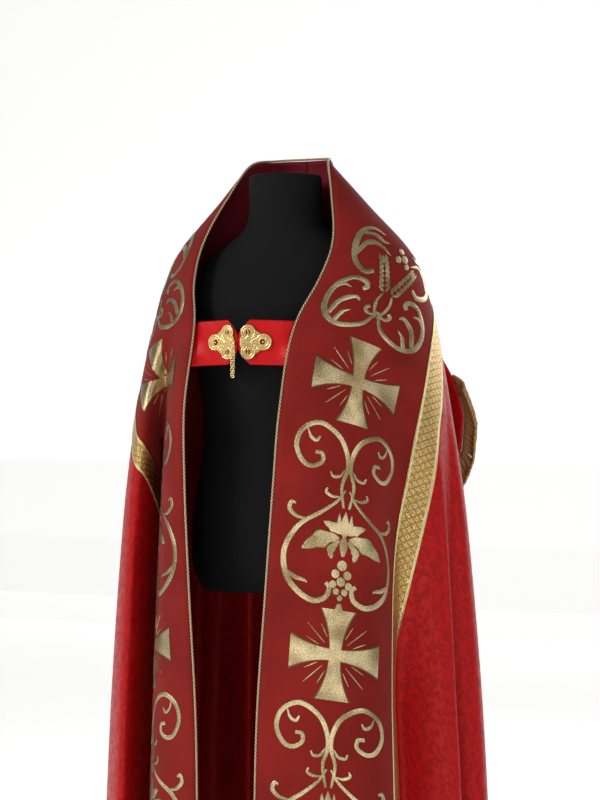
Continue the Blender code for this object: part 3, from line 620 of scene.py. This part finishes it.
# %% Bands along the straight edge
# One row for each band: its piece, node, slot, paint and thickness, the distances in from the straight
# edge at which it starts and ends, its lift off the drape, its squares each way, and its flat width.
Band = namedtuple("Band", "piece node slot paint cloth first last lift columns rows width")
BANDS = [Band(*row) for row in [
    ("orphrey_band", "orphrey", "orphrey_cloth", orphrey_ground, ORPHREY_CLOTH,
     0.0, ORPHREY_WIDTH - SEAM_GAP, 0.0, 26, 230, ORPHREY_WIDTH),
    ("facing_cloth", "facing", "facing_cloth", facing_cloth, FACING_CLOTH,
     0.0005, FACING_WIDTH, -(ORPHREY_CLOTH + 2 * LAYER_GAP), 18, 230, FACING_WIDTH),
    ("galloon_braid", "galloon", "gold_braid", gold_braid, GALLOON_CLOTH,
     ORPHREY_WIDTH - 0.5 * GALLOON_WIDTH, OUTER_LINE, LAYER_GAP + GALLOON_CLOTH, 8, 260, GALLOON_WIDTH),
]]
SIDES = ((1, "left"), (-1, "right"))
for side, hand in SIDES:
    for band in BANDS:
        strip = strip_sheet(f"{band.piece}_{hand}", side, band)
        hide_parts(f"{band.node}_{hand}")
print("bands made")


# %% Cords
def new_shape(*layers):
    """An empty shape with its UV maps."""
    shape = bmesh.new()
    for layer in layers:
        shape.loops.layers.uv.new(layer)
    return shape


def round_cord(shape, path, radius, sides, turn_from=(0.31, -0.87, 0.38)):
    """Adds to shape a cord swept along a path: a grid rolled round it."""
    ahead = unit(np.gradient(path, axis=0))
    across = unit(np.cross(ahead, np.array(turn_from)))
    upward = np.cross(ahead, across)
    run = np.concatenate([[0.0], np.cumsum(np.linalg.norm(np.diff(path, axis=0), axis=1))])
    made = bmesh.ops.create_grid(shape, x_segments=sides, y_segments=len(path) - 1, size=0.5)
    layer = shape.loops.layers.uv.verify()
    fresh = {}
    for vert in made["verts"]:
        step = int(round((vert.co.y + 0.5) * (len(path) - 1)))
        share = vert.co.x + 0.5
        fresh[vert] = (run[step], share)
        angle = 2 * math.pi * share
        vert.co = path[step] + radius * (math.cos(angle) * across[step] + math.sin(angle) * upward[step])
    for face in {face for vert in fresh for face in vert.link_faces}:
        for loop in face.loops:
            loop[layer].uv = fresh[loop.vert]


def close_up(shape, merge=0.00002):
    """Joins the points nearer than merge, fills the open ends, and turns the faces outward."""
    bmesh.ops.remove_doubles(shape, verts=shape.verts, dist=merge)
    bmesh.ops.holes_fill(shape, edges=[edge for edge in shape.edges if edge.is_boundary])
    bmesh.ops.recalc_face_normals(shape, faces=shape.faces)


# %% Piping
PIPING_RADIUS = 0.0020
PIPING_OUT = PIPING_RADIUS + 0.0008  # its middle, out from the straight edge
PIPING_BACK = 0.0012
for side, hand in SIDES:
    along = side * np.linspace(0.0003, EDGE_LENGTH, 520)
    point, normal, away = cloth_frame(along, 0 * along)
    shape = new_shape("flat_cut")
    round_cord(shape, point - away * PIPING_OUT - normal * PIPING_BACK, PIPING_RADIUS, 8)
    close_up(shape)
    piping = finish_piece(f"piping_cord_{hand}", shape, gold_cord)
    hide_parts(f"piping_{hand}")
    print("piping", hand, len(piping.data.polygons), "faces")

# %% [markdown]
# ## Gold work on the orphrey
# The figures are flat gold thread laid on the band and couched down, so they stand less than a
# millimetre proud. Each figure is drawn as ribbons: a curve through a few points, with a width that
# swells and tapers. A ribbon is a narrow grid, bent along its curve on the flat cut and then hung on
# the drape, so the gold follows every fold of the band.

# %% Ribbons on the flat cut
BAND_MIDDLE = 0.5 * (ORPHREY_WIDTH - 0.5 * GALLOON_WIDTH)
GOLD_HEIGHT = 0.0007


def curve_through(points, steps):
    """A smooth curve through a few points (Catmull-Rom), at even steps."""
    points = np.asarray(points, float)
    ends = np.vstack([2 * points[0] - points[1], points, 2 * points[-1] - points[-2]])
    out = []
    for k in range(len(points) - 1):
        a, b, c, d = ends[k : k + 4]
        t = np.linspace(0.0, 1.0, steps, endpoint=k == len(points) - 2)[:, None]
        bend, twist = 2 * a - 5 * b + 4 * c - d, 3 * b - a - 3 * c + d
        out.append(0.5 * (2 * b + (c - a) * t + bend * t**2 + twist * t**3))
    return np.vstack(out)


def ribbon(shape, side, origin, path, widths, across_steps=4, wavy=0.0, mirror=1):
    """One ribbon. path is (outward from the band's middle, down the band), in metres."""
    path = path * np.array([mirror, 1.0])
    tangent = unit(np.gradient(path, axis=0))
    sideways = np.stack([-tangent[:, 1], tangent[:, 0]], axis=-1)
    if wavy:
        widths = widths * (1 + wavy * np.sin(np.linspace(0, 5 * math.pi, len(path))))
    made = bmesh.ops.create_grid(shape, x_segments=across_steps, y_segments=len(path) - 1, size=0.5)
    verts = made["verts"]
    steps = np.array([int(round((vert.co.y + 0.5) * (len(path) - 1))) for vert in verts])
    shares = np.array([vert.co.x + 0.5 for vert in verts])
    spots = path[steps] + sideways[steps] * ((shares - 0.5) * 2 * widths[steps])[:, None]
    across = np.clip(BAND_MIDDLE + spots[:, 0], 0.003, ORPHREY_WIDTH - 0.5 * GALLOON_WIDTH - 0.001)
    along = np.maximum(origin + spots[:, 1], 0.004)
    point, normal, _ = cloth_frame(side * along, across)
    crown = LAYER_GAP + GOLD_HEIGHT * (1 - (2 * shares - 1) ** 2)
    point = point + normal * crown[:, None]
    flat_layer = shape.loops.layers.uv["flat_cut"]
    motif_layer = shape.loops.layers.uv["motif"]
    record = {}
    for k, vert in enumerate(verts):
        vert.co = point[k]
        record[vert] = ((side * along[k], across[k]), (steps[k] / (len(path) - 1), shares[k]))
    faces = list({face for vert in verts for face in vert.link_faces})
    for face in faces:
        for loop in face.loops:
            loop[flat_layer].uv, loop[motif_layer].uv = record[loop.vert]
    face_out(shape, faces, dict(zip(verts, normal)))


def taper(count, widest, start=0.25, end=0.15, peak=0.5):
    """Half widths that swell from one end to a peak and fall to the other."""
    t = np.linspace(0.0, 1.0, count)
    rise = np.where(t < peak, t / peak, (1 - t) / (1 - peak))
    low = np.where(t < peak, start, end)
    return widest * (low + (1 - low) * np.sin(0.5 * math.pi * np.clip(rise, 0, 1)))


# %% The strokes: scrolls, leaves, grapes and wheat
# One row for each stroke: its points (outward, down) in millimetres, its widest half width, where
# along it that is, and how its two ends taper.
FIGURE_SCALE = (0.93, 0.95)
Stroke = namedtuple("Stroke", "points widest peak start end", defaults=(0.5, 0.3, 0.5))
VINE_STROKES = [Stroke(*row) for row in [
    ([(-5, 160), (-11, 122), (-3, 90), (-6, 62), (-22, 34), (-57, 16), (-88, 31), (-97, 60), (-84, 87),
      (-66, 94), (-49, 84), (-50, 70), (-62, 68)], 4.6, 0.35, 0.5, 0.75),
    ([(-80, 24), (-73, 42), (-62, 48), (-56, 40)], 3.2, 0.6, 0.2, 0.5),
    ([(-8, 92), (-16, 104), (-28, 106), (-33, 98)], 3.0),
    ([(-4, 128), (-18, 150), (-46, 174), (-78, 196), (-99, 226), (-106, 256), (-98, 290), (-76, 316),
      (-48, 330), (-26, 322), (-20, 304), (-27, 296)], 5.4, 0.55, 0.35, 0.7),
    ([(-12, 140), (-26, 142), (-38, 136), (-36, 128)], 3.0),
    ([(-66, 188), (-88, 184), (-101, 172), (-98, 160), (-90, 162)], 4.2, 0.5, 0.4, 0.5),
    ([(-100, 280), (-82, 292), (-66, 296), (-60, 300)], 4.0, 0.3, 0.5, 0.2),
]]
VINE_LEAVES = [Stroke(*row) for row in [
    ([(-8, 214), (-30, 216), (-52, 226), (-74, 240)], 15.0, 0.55, 0.06, 0.06),
    ([(-6, 206), (-20, 196), (-38, 188)], 9.0, 0.5, 0.1, 0.06),
    ([(-3, 208), (-10, 190), (-11, 170)], 5.0, 0.45, 0.2, 0.05),
    ([(-8, 218), (-22, 236), (-20, 252)], 7.0, 0.5, 0.2, 0.2),
]]
VINE_MIDDLE = [Stroke(*row) for row in [
    ([(0, 212), (0, 190), (0, 166)], 8.0, 0.45, 0.3, 0.08),
    ([(0, 212), (0, 226), (0, 246)], 7.5, 0.5, 0.4, 0.3),
    ([(0, 330), (0, 340), (0, 350)], 6.5, 0.6, 0.5, 0.6),
]]
Berry = namedtuple("Berry", "outward down radius")
GRAPES = [Berry(*row) for row in [
    (0, 262, 9.0), (-10, 278, 7.5), (10, 278, 7.5), (0, 291, 8.0), (-13, 297, 6.5), (13, 297, 6.5),
    (-7, 309, 6.0), (7, 309, 6.0), (0, 320, 5.0),
]]
WHEAT_STROKES = [Stroke(*row) for row in [
    ([(-1, -6), (-20, 27), (-60, 41), (-90, 27), (-103, -5), (-98, -36), (-75, -56), (-51, -55),
      (-43, -45), (-50, -39)], 5.6, 0.35, 0.5, 0.8),
    ([(-86, 24), (-79, -2), (-67, -14), (-52, -20), (-43, -15)], 6.0, 0.25, 0.7, 0.3),
    ([(-70, 36), (-62, 16), (-50, 8)], 4.6, 0.2, 0.8, 0.1),
    ([(-100, -30), (-86, -40), (-70, -36)], 4.0, 0.3, 0.6, 0.1),
    ([(-44, -80), (-62, -74), (-86, -92), (-92, -124), (-82, -158), (-60, -176), (-36, -170)],
     6.0, 0.55, 0.7, 0.15),
    ([(-88, -104), (-72, -134), (-50, -140), (-24, -124)], 6.0, 0.4, 0.4, 0.1),
    ([(-84, -156), (-58, -160), (-40, -150), (-28, -152)], 5.0, 0.4, 0.4, 0.1),
    ([(-1, 6), (-10, -10), (-14, -28), (-10, -44)], 3.4, 0.4, 0.6, 0.6),
    ([(-2, 0), (-18, 2), (-26, -6), (-20, -12)], 4.0, 0.6, 0.4, 0.8),
]]
WHEAT_EAR = ((-8, -46), (-34, -108))
GRAIN_PAIRS = 7
WHEAT_FLOWERS = [Berry(*row) for row in [(-6, -124, 7.0), (7, -132, 8.0), (-2, -146, 6.5), (14, -118, 6.0)]]


print(len(VINE_STROKES + VINE_LEAVES + VINE_MIDDLE), "strokes in a vine,", len(WHEAT_STROKES), "in the wheat")


# %% How each figure is laid
def stroke_ribbon(shape, side, origin, stroke, mirror=1, wavy=0.0):
    path = curve_through(np.array(stroke.points) / 1000, 9) * np.array(FIGURE_SCALE)
    widths = taper(len(path), stroke.widest / 1000, stroke.start, stroke.end, stroke.peak)
    ribbon(shape, side, origin, path, widths, mirror=mirror, wavy=wavy)


def grape(shape, side, origin, berry):
    """A round berry: a ribbon as wide as it is long."""
    t = np.linspace(-1.0, 1.0, 11)
    radius = berry.radius / 1000
    down = berry.down * FIGURE_SCALE[1] / 1000 + radius * t
    path = np.stack([np.full_like(t, berry.outward / 1000), down], axis=-1)
    ribbon(shape, side, origin, path, radius * np.sqrt(np.maximum(1 - t**2, 0.01)))


def wheat_ear(shape, side, origin, ends, mirror):
    """Grains in pairs up a stalk, each a short pointed ribbon."""
    base, tip = np.array(ends) / 1000
    run = tip - base
    length = np.linalg.norm(run)
    run = run / length
    cross = np.array([-run[1], run[0]])
    for k in range(GRAIN_PAIRS):
        stem = base + run * length * k / GRAIN_PAIRS
        for way in (-1, 1):
            foot = stem + cross * way * 0.0015
            point = stem + run * 0.017 + cross * way * 0.0085 * (1 - 0.06 * k)
            path = curve_through([foot, 0.5 * (foot + point) + cross * way * 0.0022, point], 5)
            ribbon(shape, side, origin, path, taper(len(path), 0.0036, 0.3, 0.1, 0.45), 2, mirror=mirror)
    crown = curve_through([tip - run * 0.012, tip + run * 0.006], 6)
    ribbon(shape, side, origin, crown, taper(len(crown), 0.0038, 0.3, 0.1, 0.45), 2, mirror=mirror)


CROSS_REACH = 0.076
CROSS_NECK = 0.0105  # half width of an arm at the middle
CROSS_FLARE = 0.021


def direction(angle):
    return np.array([math.cos(angle), math.sin(angle)])


def cross_pattee(shape, side, origin):
    """Four arms that flare from the middle to slightly hollow ends, and rays between them."""
    t = np.linspace(0.0, 1.0, 15)
    for quarter in range(4):
        path = direction(0.5 * math.pi * quarter) * (t * CROSS_REACH)[:, None]
        ribbon(shape, side, origin, path, CROSS_NECK + CROSS_FLARE * t**2.2, 8)
    for quarter in range(4):
        middle = 0.25 * math.pi + 0.5 * math.pi * quarter
        for spread, near, far in ((-0.30, 0.032, 0.056), (0.0, 0.027, 0.070), (0.30, 0.032, 0.056)):
            path = direction(middle + spread) * np.linspace(near, far, 6)[:, None]
            ribbon(shape, side, origin, path, taper(6, 0.0010, 0.4, 0.4, 0.4), 2)


# %% The gold work on each side
CROSSES = [0.544, 1.014, 1.484]
VINES = [0.614, 1.084]
WHEAT_AT = 0.412
for side, hand in SIDES:
    shape = new_shape("flat_cut", "motif")
    for cross_at in CROSSES:
        cross_pattee(shape, side, cross_at)
    for vine_at in VINES:
        for mirror in (1, -1):
            for stroke in VINE_STROKES:
                stroke_ribbon(shape, side, vine_at, stroke, mirror)
            for stroke in VINE_LEAVES:
                stroke_ribbon(shape, side, vine_at, stroke, mirror, 0.12)
        for stroke in VINE_MIDDLE:
            stroke_ribbon(shape, side, vine_at, stroke)
        for berry in GRAPES:
            grape(shape, side, vine_at, berry)
    for mirror in (1, -1):
        for stroke in WHEAT_STROKES:
            stroke_ribbon(shape, side, WHEAT_AT, stroke, mirror, 0.08)
        wheat_ear(shape, side, WHEAT_AT, WHEAT_EAR, mirror)
    for berry in WHEAT_FLOWERS:
        grape(shape, side, WHEAT_AT, berry)
    print("gold work", hand, len(shape.faces), "faces")
    gold = finish_piece(f"gold_work_{hand}", shape, motif_gold)

# %% [markdown]
# ## Hood and fringe
# The hood is a flat shield that hangs down the back from under the orphrey. Its fringe is of bullion,
# thick cords of twisted gold thread.

# %% Hood
HOOD_LENGTH = 0.40
HOOD_CLOTH = 0.003
FRINGE_REACH = 0.060
FRINGE_STAND_OUT = 0.022
FRINGE_LEAST = 0.020  # its reach where the edge hangs straight down
FRINGE_CORD = 0.0024
HOOD_LIFT = 0.006
HOOD_STAND_OFF = 0.020  # lower down, off the body's back
HOOD_SEAT = 0.16  # from here down it hangs clear
BACKWARD = (0.0, 1.0, 0.0)
HoodRow = namedtuple("HoodRow", "down half_width")
HOOD = [HoodRow(*row) for row in [
    (0.00, 0.170), (0.06, 0.194), (0.12, 0.211), (0.18, 0.217), (0.24, 0.208),
    (0.29, 0.180), (0.33, 0.140), (0.37, 0.084), (0.40, 0.020),
]]


def hood_point(down, aside, lift):
    """The top follows the cloth under the orphrey; lower down the hood hangs stiff and nearly flat."""
    seat, normal, _ = cloth_frame(aside, np.full_like(aside, OUTER_LINE + 0.004) + 0.25 * down)
    seat = seat + normal * (HOOD_LIFT + lift)
    top = float(cloth_point(0.0, OUTER_LINE)[2])
    height = top - down
    level = np.interp(-height, -column(LEVELS, "back_z"), column(LEVELS, "edge"))
    flat = np.stack([aside * 1.06, level_at(level, "back_y") + HOOD_STAND_OFF + lift, height], axis=-1)
    flat[..., 1] = flat[..., 1] + 0.10 * down * np.abs(aside) - 0.25 * aside**2
    blend = np.clip(down / HOOD_SEAT, 0.0, 1.0)[..., None]
    blend = blend * blend * (3 - 2 * blend)
    return seat * (1 - blend) + flat * blend


def hood_half_width(down):
    return np.interp(down, column(HOOD, "down"), column(HOOD, "half_width"))


shape, places = grid_shape(60, 60)
down = HOOD_LENGTH * places[:, 1]
aside = -hood_half_width(down) * (2 * places[:, 0] - 1)
point = hood_point(down, aside, HOOD_CLOTH)
hang(shape, point, np.stack([aside, down + 0.3], axis=-1), [BACKWARD] * len(point))
hood = thicken(finish_piece("hood_shield", shape, scarlet_damask), HOOD_CLOTH)
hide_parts("hood")
depths = np.linspace(0.0, HOOD_LENGTH, 200)
hood_area = np.trapz(2 * hood_half_width(depths), depths)
hood_width = 2 * max(column(HOOD, "half_width"))
print("hood", round(hood_area, 3), "square metres")

# %% Hood fringe
EDGE_ROWS = 240
half_run = np.linspace(0.12, HOOD_LENGTH, 600)
edge_down = np.concatenate([half_run, half_run[::-1]])
edge_aside = np.concatenate([hood_half_width(half_run), -hood_half_width(half_run[::-1])])
edge_line = hood_point(edge_down, edge_aside, HOOD_CLOTH)
edge_run = np.concatenate([[0.0], np.cumsum(np.linalg.norm(np.diff(edge_line, axis=0), axis=1))])
rng = np.random.default_rng(7)
shape = new_shape("flat_cut")
even = np.linspace(0.0, edge_run[-1], EDGE_ROWS)
roots = np.stack([np.interp(even, edge_run, edge_line[:, k]) for k in range(3)], axis=-1)
lay = unit(np.gradient(roots[:, [0, 2]], axis=0))
for layer_number in (0, 1):
    for k in range(EDGE_ROWS):
        level_part = abs(lay[k, 0])
        out = np.clip(roots[k, 0] / 0.05, -1, 1) * FRINGE_STAND_OUT * (1 - 0.6 * level_part)
        reach_down = FRINGE_LEAST + (FRINGE_REACH - FRINGE_LEAST) * level_part
        reach_down = reach_down * (0.93 + 0.07 * rng.random())
        sway = 0.002 * (rng.random(2) - 0.5)
        base = roots[k] + np.array([0.0, 0.0015 + 0.0022 * layer_number, 0.0])
        t = np.linspace(0.0, 1.0, 7)[:, None]
        hangs = np.array([out + sway[0], 0.0, -reach_down])
        bulge = np.array([0.45 * out, 0.003 + 2 * sway[1], 0.0])
        path = base + hangs * t + bulge * np.sin(math.pi * t)
        round_cord(shape, path, FRINGE_CORD, 5, (0.0, 1.0, 0.2))
close_up(shape)
fringe = finish_piece("hood_fringe_cords", shape, bullion)
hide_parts("hood_fringe")
print("fringe", len(fringe.data.polygons), "faces")

# %% [markdown]
# ## Clasp
# Two straps of satin cross the chest. Each carries a gold trefoil plate of pierced scrollwork, and the
# plates hook together in the middle. A short doubled chain hangs from the hook.

# %% Where the straps lie
STRAP_HALF_HEIGHT = 0.038
STRAP_CLOTH = 0.0016
STRAP_FRONT_Y = -0.1665
CLASP_HEIGHT = 1.210
STRAP_TUCK = 0.030  # sewn length behind the front edge
STRAP_BEHIND = 0.0060
STRAP_CORNER = 0.026  # how far its end is rounded off


def edge_place(height):
    """Distance down the straight edge at which the front edge hangs at this height."""
    down = np.linspace(0.2, 1.0, 401)
    return float(np.interp(-height, -cloth_point(down, 0.0 * down)[:, 2], down))


def strap_grid(side):
    """Rows of points up the strap, each from the clasp to behind the front edge."""
    inside = -(ORPHREY_CLOTH + FACING_CLOTH + STRAP_BEHIND)
    places = np.array([0.0, 0.5, 1.0]) * STRAP_TUCK
    heights = np.array([-1.0, -0.5, 0.0, 0.5, 1.0]) * STRAP_HALF_HEIGHT
    tucked = []
    for height in heights:
        row_along = edge_place(CLASP_HEIGHT + height)
        point, normal, _ = cloth_frame(np.full(3, side * row_along), places)
        tucked.append(point + normal * inside)
    tucked = np.array(tucked)
    tip = side * 0.0008
    # The strap is flat where its plate lies, and turns to meet the front edge beyond it.
    recede = (tucked[2, 0, 1] - STRAP_FRONT_Y) / abs(tucked[2, 0, 0])
    rows = []
    for k, height in enumerate(heights):
        edge = tucked[k, 0]
        round_off = STRAP_CORNER * (1 - math.sqrt(1 - 0.96 * (height / STRAP_HALF_HEIGHT) ** 2))
        start = np.array([tip + side * round_off, STRAP_FRONT_Y, CLASP_HEIGHT + height])
        middle = np.array([start + (edge - start) * t for t in (0.0, 0.12, 0.4, 0.72)])
        middle[:, 1] = STRAP_FRONT_Y + np.abs(middle[:, 0]) * recede
        rows.append(np.concatenate([middle, tucked[k]]))
    return np.array(rows)


def strap_lean(side):
    rows = strap_grid(side)
    run = rows[2, 4] - rows[2, 0]
    return math.atan2(run[1], abs(run[0]))


def resample(points, steps, count):
    """A smooth curve through a few points, as this many places along it."""
    curved = curve_through(points, steps)
    even = np.linspace(0.0, len(curved) - 1.0, count)
    return np.stack([np.interp(even, np.arange(len(curved)), curved[:, k]) for k in range(3)], axis=-1)


# %% The two straps
STRAP_COLUMNS = 40
STRAP_ROWS = 24
for side, hand in SIDES:
    shape, places = grid_shape(STRAP_COLUMNS, STRAP_ROWS)
    rows = np.array([resample(row, 12, STRAP_COLUMNS + 1) for row in strap_grid(side)])
    columns = np.array([resample(rows[:, k], 9, STRAP_ROWS + 1) for k in range(STRAP_COLUMNS + 1)])
    sideways, upward = np.round(places * (STRAP_COLUMNS, STRAP_ROWS)).astype(int).T
    point = columns[sideways, upward]
    flat = np.stack([np.abs(point[:, 0]), places[:, 1] * 2 * STRAP_HALF_HEIGHT], axis=-1)
    hang(shape, point, flat, [(0.0, -1.0, 0.0)] * len(point))
    strap = thicken(finish_piece(f"clasp_strap_{hand}", shape, strap_satin), STRAP_CLOTH)
    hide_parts(f"strap_{hand}")
print("straps made")

# %% Gold plates
PLATE_THICKNESS = 0.0020
PLATE_FRONT_Y = STRAP_FRONT_Y - LAYER_GAP - PLATE_THICKNESS
PLATE_TURNS_AT = 0.0084


def plate_spot(side, aside, height, lift):
    """A place on the front of a plate, which lies back a little with its strap."""
    away = max(aside - PLATE_TURNS_AT, 0.0)
    back = math.tan(strap_lean(side)) * away
    return np.array([side * aside, PLATE_FRONT_Y + back - lift, CLASP_HEIGHT + height])


def wire_on_plate(shape, side, spots, radius):
    path = curve_through(np.array(spots) / 1000, 7)
    path = np.array([plate_spot(side, a, b, radius * 0.6) for a, b in path])
    round_cord(shape, path, radius, 6)


def bead_on_plate(shape, side, spot, radius):
    made = bmesh.ops.create_uvsphere(shape, u_segments=10, v_segments=6, radius=radius)
    place = plate_spot(side, spot[0] / 1000, spot[1] / 1000, LAYER_GAP)
    bmesh.ops.translate(shape, verts=made["verts"], vec=place)


def repaint(node_name, paint):
    """A hard piece that already has its true shape keeps it, and gets only its material."""
    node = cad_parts[node_name]
    node.data.materials.clear()
    node.data.materials.append(paint)


def circle_spots(middle, radius, first, last, count):
    turns = np.linspace(math.radians(first), math.radians(last), count)
    return [(middle[0] + radius * math.cos(t), middle[1] + radius * math.sin(t)) for t in turns]


for side, hand in SIDES:
    shape = new_shape("flat_cut")
    wire = partial(wire_on_plate, shape, side)
    for up in (1, -1):
        wire(circle_spots((20, 16.5 * up), 11.6, -60 * up, 215 * up, 13), 0.0010)
        wire(circle_spots((20, 16.5 * up), 7.4, 20 * up, 290 * up, 10), 0.0008)
        wire([(9, 3 * up), (16, 6 * up), (20, 12 * up), (20, 20 * up)], 0.0009)
        wire([(24, 0), (31, 5 * up), (38, 8 * up), (43, 5 * up)], 0.0009)
        wire([(28, 12 * up), (33, 13 * up), (37, 9 * up), (34, 5 * up), (30, 7 * up)], 0.0008)
        for spot in ((12, 9 * up), (31, 9.5 * up), (41, 11 * up)):
            bead_on_plate(shape, side, spot, 0.0014)
    wire(circle_spots((47, 0), 12.6, -150, 150, 15), 0.0010)
    wire(circle_spots((47, 0), 8.0, -120, 200, 11), 0.0008)
    wire([(6, 0), (14, 0.6), (24, 0), (32, 0), (38, 0)], 0.0011)
    for spot in ((26, 0), (46, 0), (51, 5), (51, -5), (8, 0)):
        bead_on_plate(shape, side, spot, 0.0017)
    close_up(shape)
    filigree = finish_piece(f"clasp_filigree_{hand}", shape, clasp_gold)
    # The plate under the wirework takes the darker gold, which is painted shade.
    repaint(f"clasp_plate_{hand}", clasp_gold_shaded)
    print("wirework", hand, len(filigree.data.polygons), "faces")

# %% [markdown]
# The drop is a chain, doubled over its hook. Each link is a small stretched ring, turned a quarter
# from the one above.

# %% Chain
PIN_X = -0.0062
PIN_Z = 1.2120
CHAIN_Y = PLATE_FRONT_Y - 0.0041
FIRST_LINK = 0.0062  # below the pin
LINK_PITCH = 0.0042
LINKS = 13
SIDEWAYS = np.array([1.0, 0.0, 0.0])
UPWARD = np.array([0.0, 0.0, 1.0])


def chain_ring(middle, way, half_width, half_height, wire, steps, sides, turn_from=BACKWARD):
    """A ring of wire, flat in the plane of way and the upright."""
    turns = np.linspace(0, 2 * math.pi, steps)[:, None]
    path = middle + way * half_width * np.sin(turns) + UPWARD * half_height * np.cos(turns)
    round_cord(shape, path, wire, sides, turn_from)


shape = new_shape("flat_cut")
chain_ring(np.array([PIN_X, CHAIN_Y, PIN_Z - 0.0008]), SIDEWAYS, 0.0033, 0.0033, 0.0007, 25, 6)
for strand in (-1, 1):
    for k in range(LINKS):
        aside = strand * (0.0026 - 0.00006 * k)
        middle = np.array([PIN_X + aside, CHAIN_Y, PIN_Z - FIRST_LINK - LINK_PITCH * k])
        turn = 0.25 * math.pi + 0.5 * math.pi * ((k + (strand > 0)) % 2)
        way = np.array([math.cos(turn), math.sin(turn), 0.0])
        chain_ring(middle, way, 0.0016, 0.0029, 0.0006, 15, 5, np.cross(way, UPWARD))
last = np.array([PIN_X, CHAIN_Y, PIN_Z - FIRST_LINK - LINK_PITCH * 12.9])
chain_ring(last, SIDEWAYS, 0.0030, 0.0016, 0.0007, 19, 5)
close_up(shape)
chain = finish_piece("clasp_chain", shape, clasp_gold, "drop")
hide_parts("clasp_drop")
print("chain", 2 * LINKS, "links")

# %% [markdown]
# ## The dress form
# A limbless form carries the cope: a padded body covered in black jersey, with a plain neck, on a
# steel pole and a round foot. It is a tube whose rings swell and shrink, closed at both ends.

# %% Dress form
FormRow = namedtuple("FormRow", "height half_width half_depth middle_y")
FORM = [FormRow(*row) for row in [
    (0.780, 0.150, 0.112, 0.004), (0.800, 0.160, 0.120, 0.004), (0.900, 0.168, 0.124, 0.002),
    (0.980, 0.156, 0.114, 0.002), (1.060, 0.146, 0.104, 0.002), (1.140, 0.154, 0.112, 0.000),
    (1.220, 0.166, 0.120, 0.000), (1.290, 0.174, 0.108, 0.008), (1.335, 0.170, 0.088, 0.016),
    (1.365, 0.146, 0.076, 0.018), (1.390, 0.108, 0.068, 0.018), (1.412, 0.078, 0.063, 0.016),
    (1.440, 0.066, 0.062, 0.013), (1.475, 0.064, 0.062, 0.010), (1.500, 0.064, 0.062, 0.010),
]]


# One row for each turn of the closed ends: its place up the form, and how far it shrinks and rises.
FormEnd = namedtuple("FormEnd", "place shrink rise")
FORM_ENDS = [FormEnd(*row) for row in [
    (0.0, 0.86, 0.0), (0.0094, 1.0, 0.0), (0.953, 1.0, 0.0),
    (0.97, 0.97, 0.0040), (0.985, 0.86, 0.0072), (1.0, 0.0, 0.0083),
]]
shape, places = grid_shape(72, 96)
low, high = FORM[0].height, FORM[-1].height
level = low + (high - low) * np.clip(places[:, 1] * 1.06 - 0.01, 0.0, 1.0)
angle = 2 * math.pi * places[:, 0]
shrink = np.interp(places[:, 1], column(FORM_ENDS, "place"), column(FORM_ENDS, "shrink"))
rise = np.interp(places[:, 1], column(FORM_ENDS, "place"), column(FORM_ENDS, "rise"))
form_names = ("half_width", "half_depth", "middle_y")
half_width, half_depth, middle_y = (smooth_column(FORM, "height", name, level) for name in form_names)
x = half_width * np.cos(angle) * shrink
y = middle_y + half_depth * np.sin(angle) * shrink
point = np.stack([x, y, level + rise], axis=-1)
hang(shape, point, np.stack([angle * 0.15, level], axis=-1), point)
close_up(shape, 0.00005)
form = finish_piece("dress_form", shape, form_jersey)
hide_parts("form_torso", "form_neck_cap")
repaint("form_pole", pole_steel)
repaint("form_base", base_black)
print("dress form", len(form.data.vertices), "points")

# %% [markdown]
# ## Floor and backdrop
# A plain pale sweep: the floor runs back and curves up into the wall, so there is no line behind the
# garment.

# %% Floor
BACKDROP_WIDTH = 20.0
BACKDROP_LENGTH = 18.0
FLOOR_FRONT = -6.5
FLOOR_LENGTH = 13.5
SWEEP = 1.0  # radius of the curve between floor and wall
shape, places = grid_shape(4, 40)
run = places[:, 1] * BACKDROP_LENGTH
turn = np.clip((run - FLOOR_LENGTH) / SWEEP, 0.0, 0.5 * math.pi)
wall_run = np.maximum(run - FLOOR_LENGTH - 0.5 * math.pi, 0.0)
x = BACKDROP_WIDTH * (places[:, 0] - 0.5)
y = FLOOR_FRONT + np.minimum(run, FLOOR_LENGTH) + SWEEP * np.sin(turn)
z = SWEEP * (1.0 - np.cos(turn)) + wall_run * 2.0
point = np.stack([x, y, z], axis=-1)
for vert, spot in zip(shape.verts, point):
    vert.co = spot
bmesh.ops.recalc_face_normals(shape, faces=shape.faces)
mesh = bpy.data.meshes.new("backdrop")
shape.to_mesh(mesh)
shape.free()
backdrop_paint, _, backdrop_shader = new_material("backdrop_white", "#f6f6f5", 0.9)
backdrop_shader.inputs["Emission Color"].default_value = srgb("#ffffff")
backdrop_shader.inputs["Emission Strength"].default_value = 0.42
mesh.materials.append(backdrop_paint)
backdrop = bpy.data.objects.new("backdrop", mesh)
bpy.context.scene.collection.objects.link(backdrop)
print("backdrop", BACKDROP_WIDTH, "m wide")
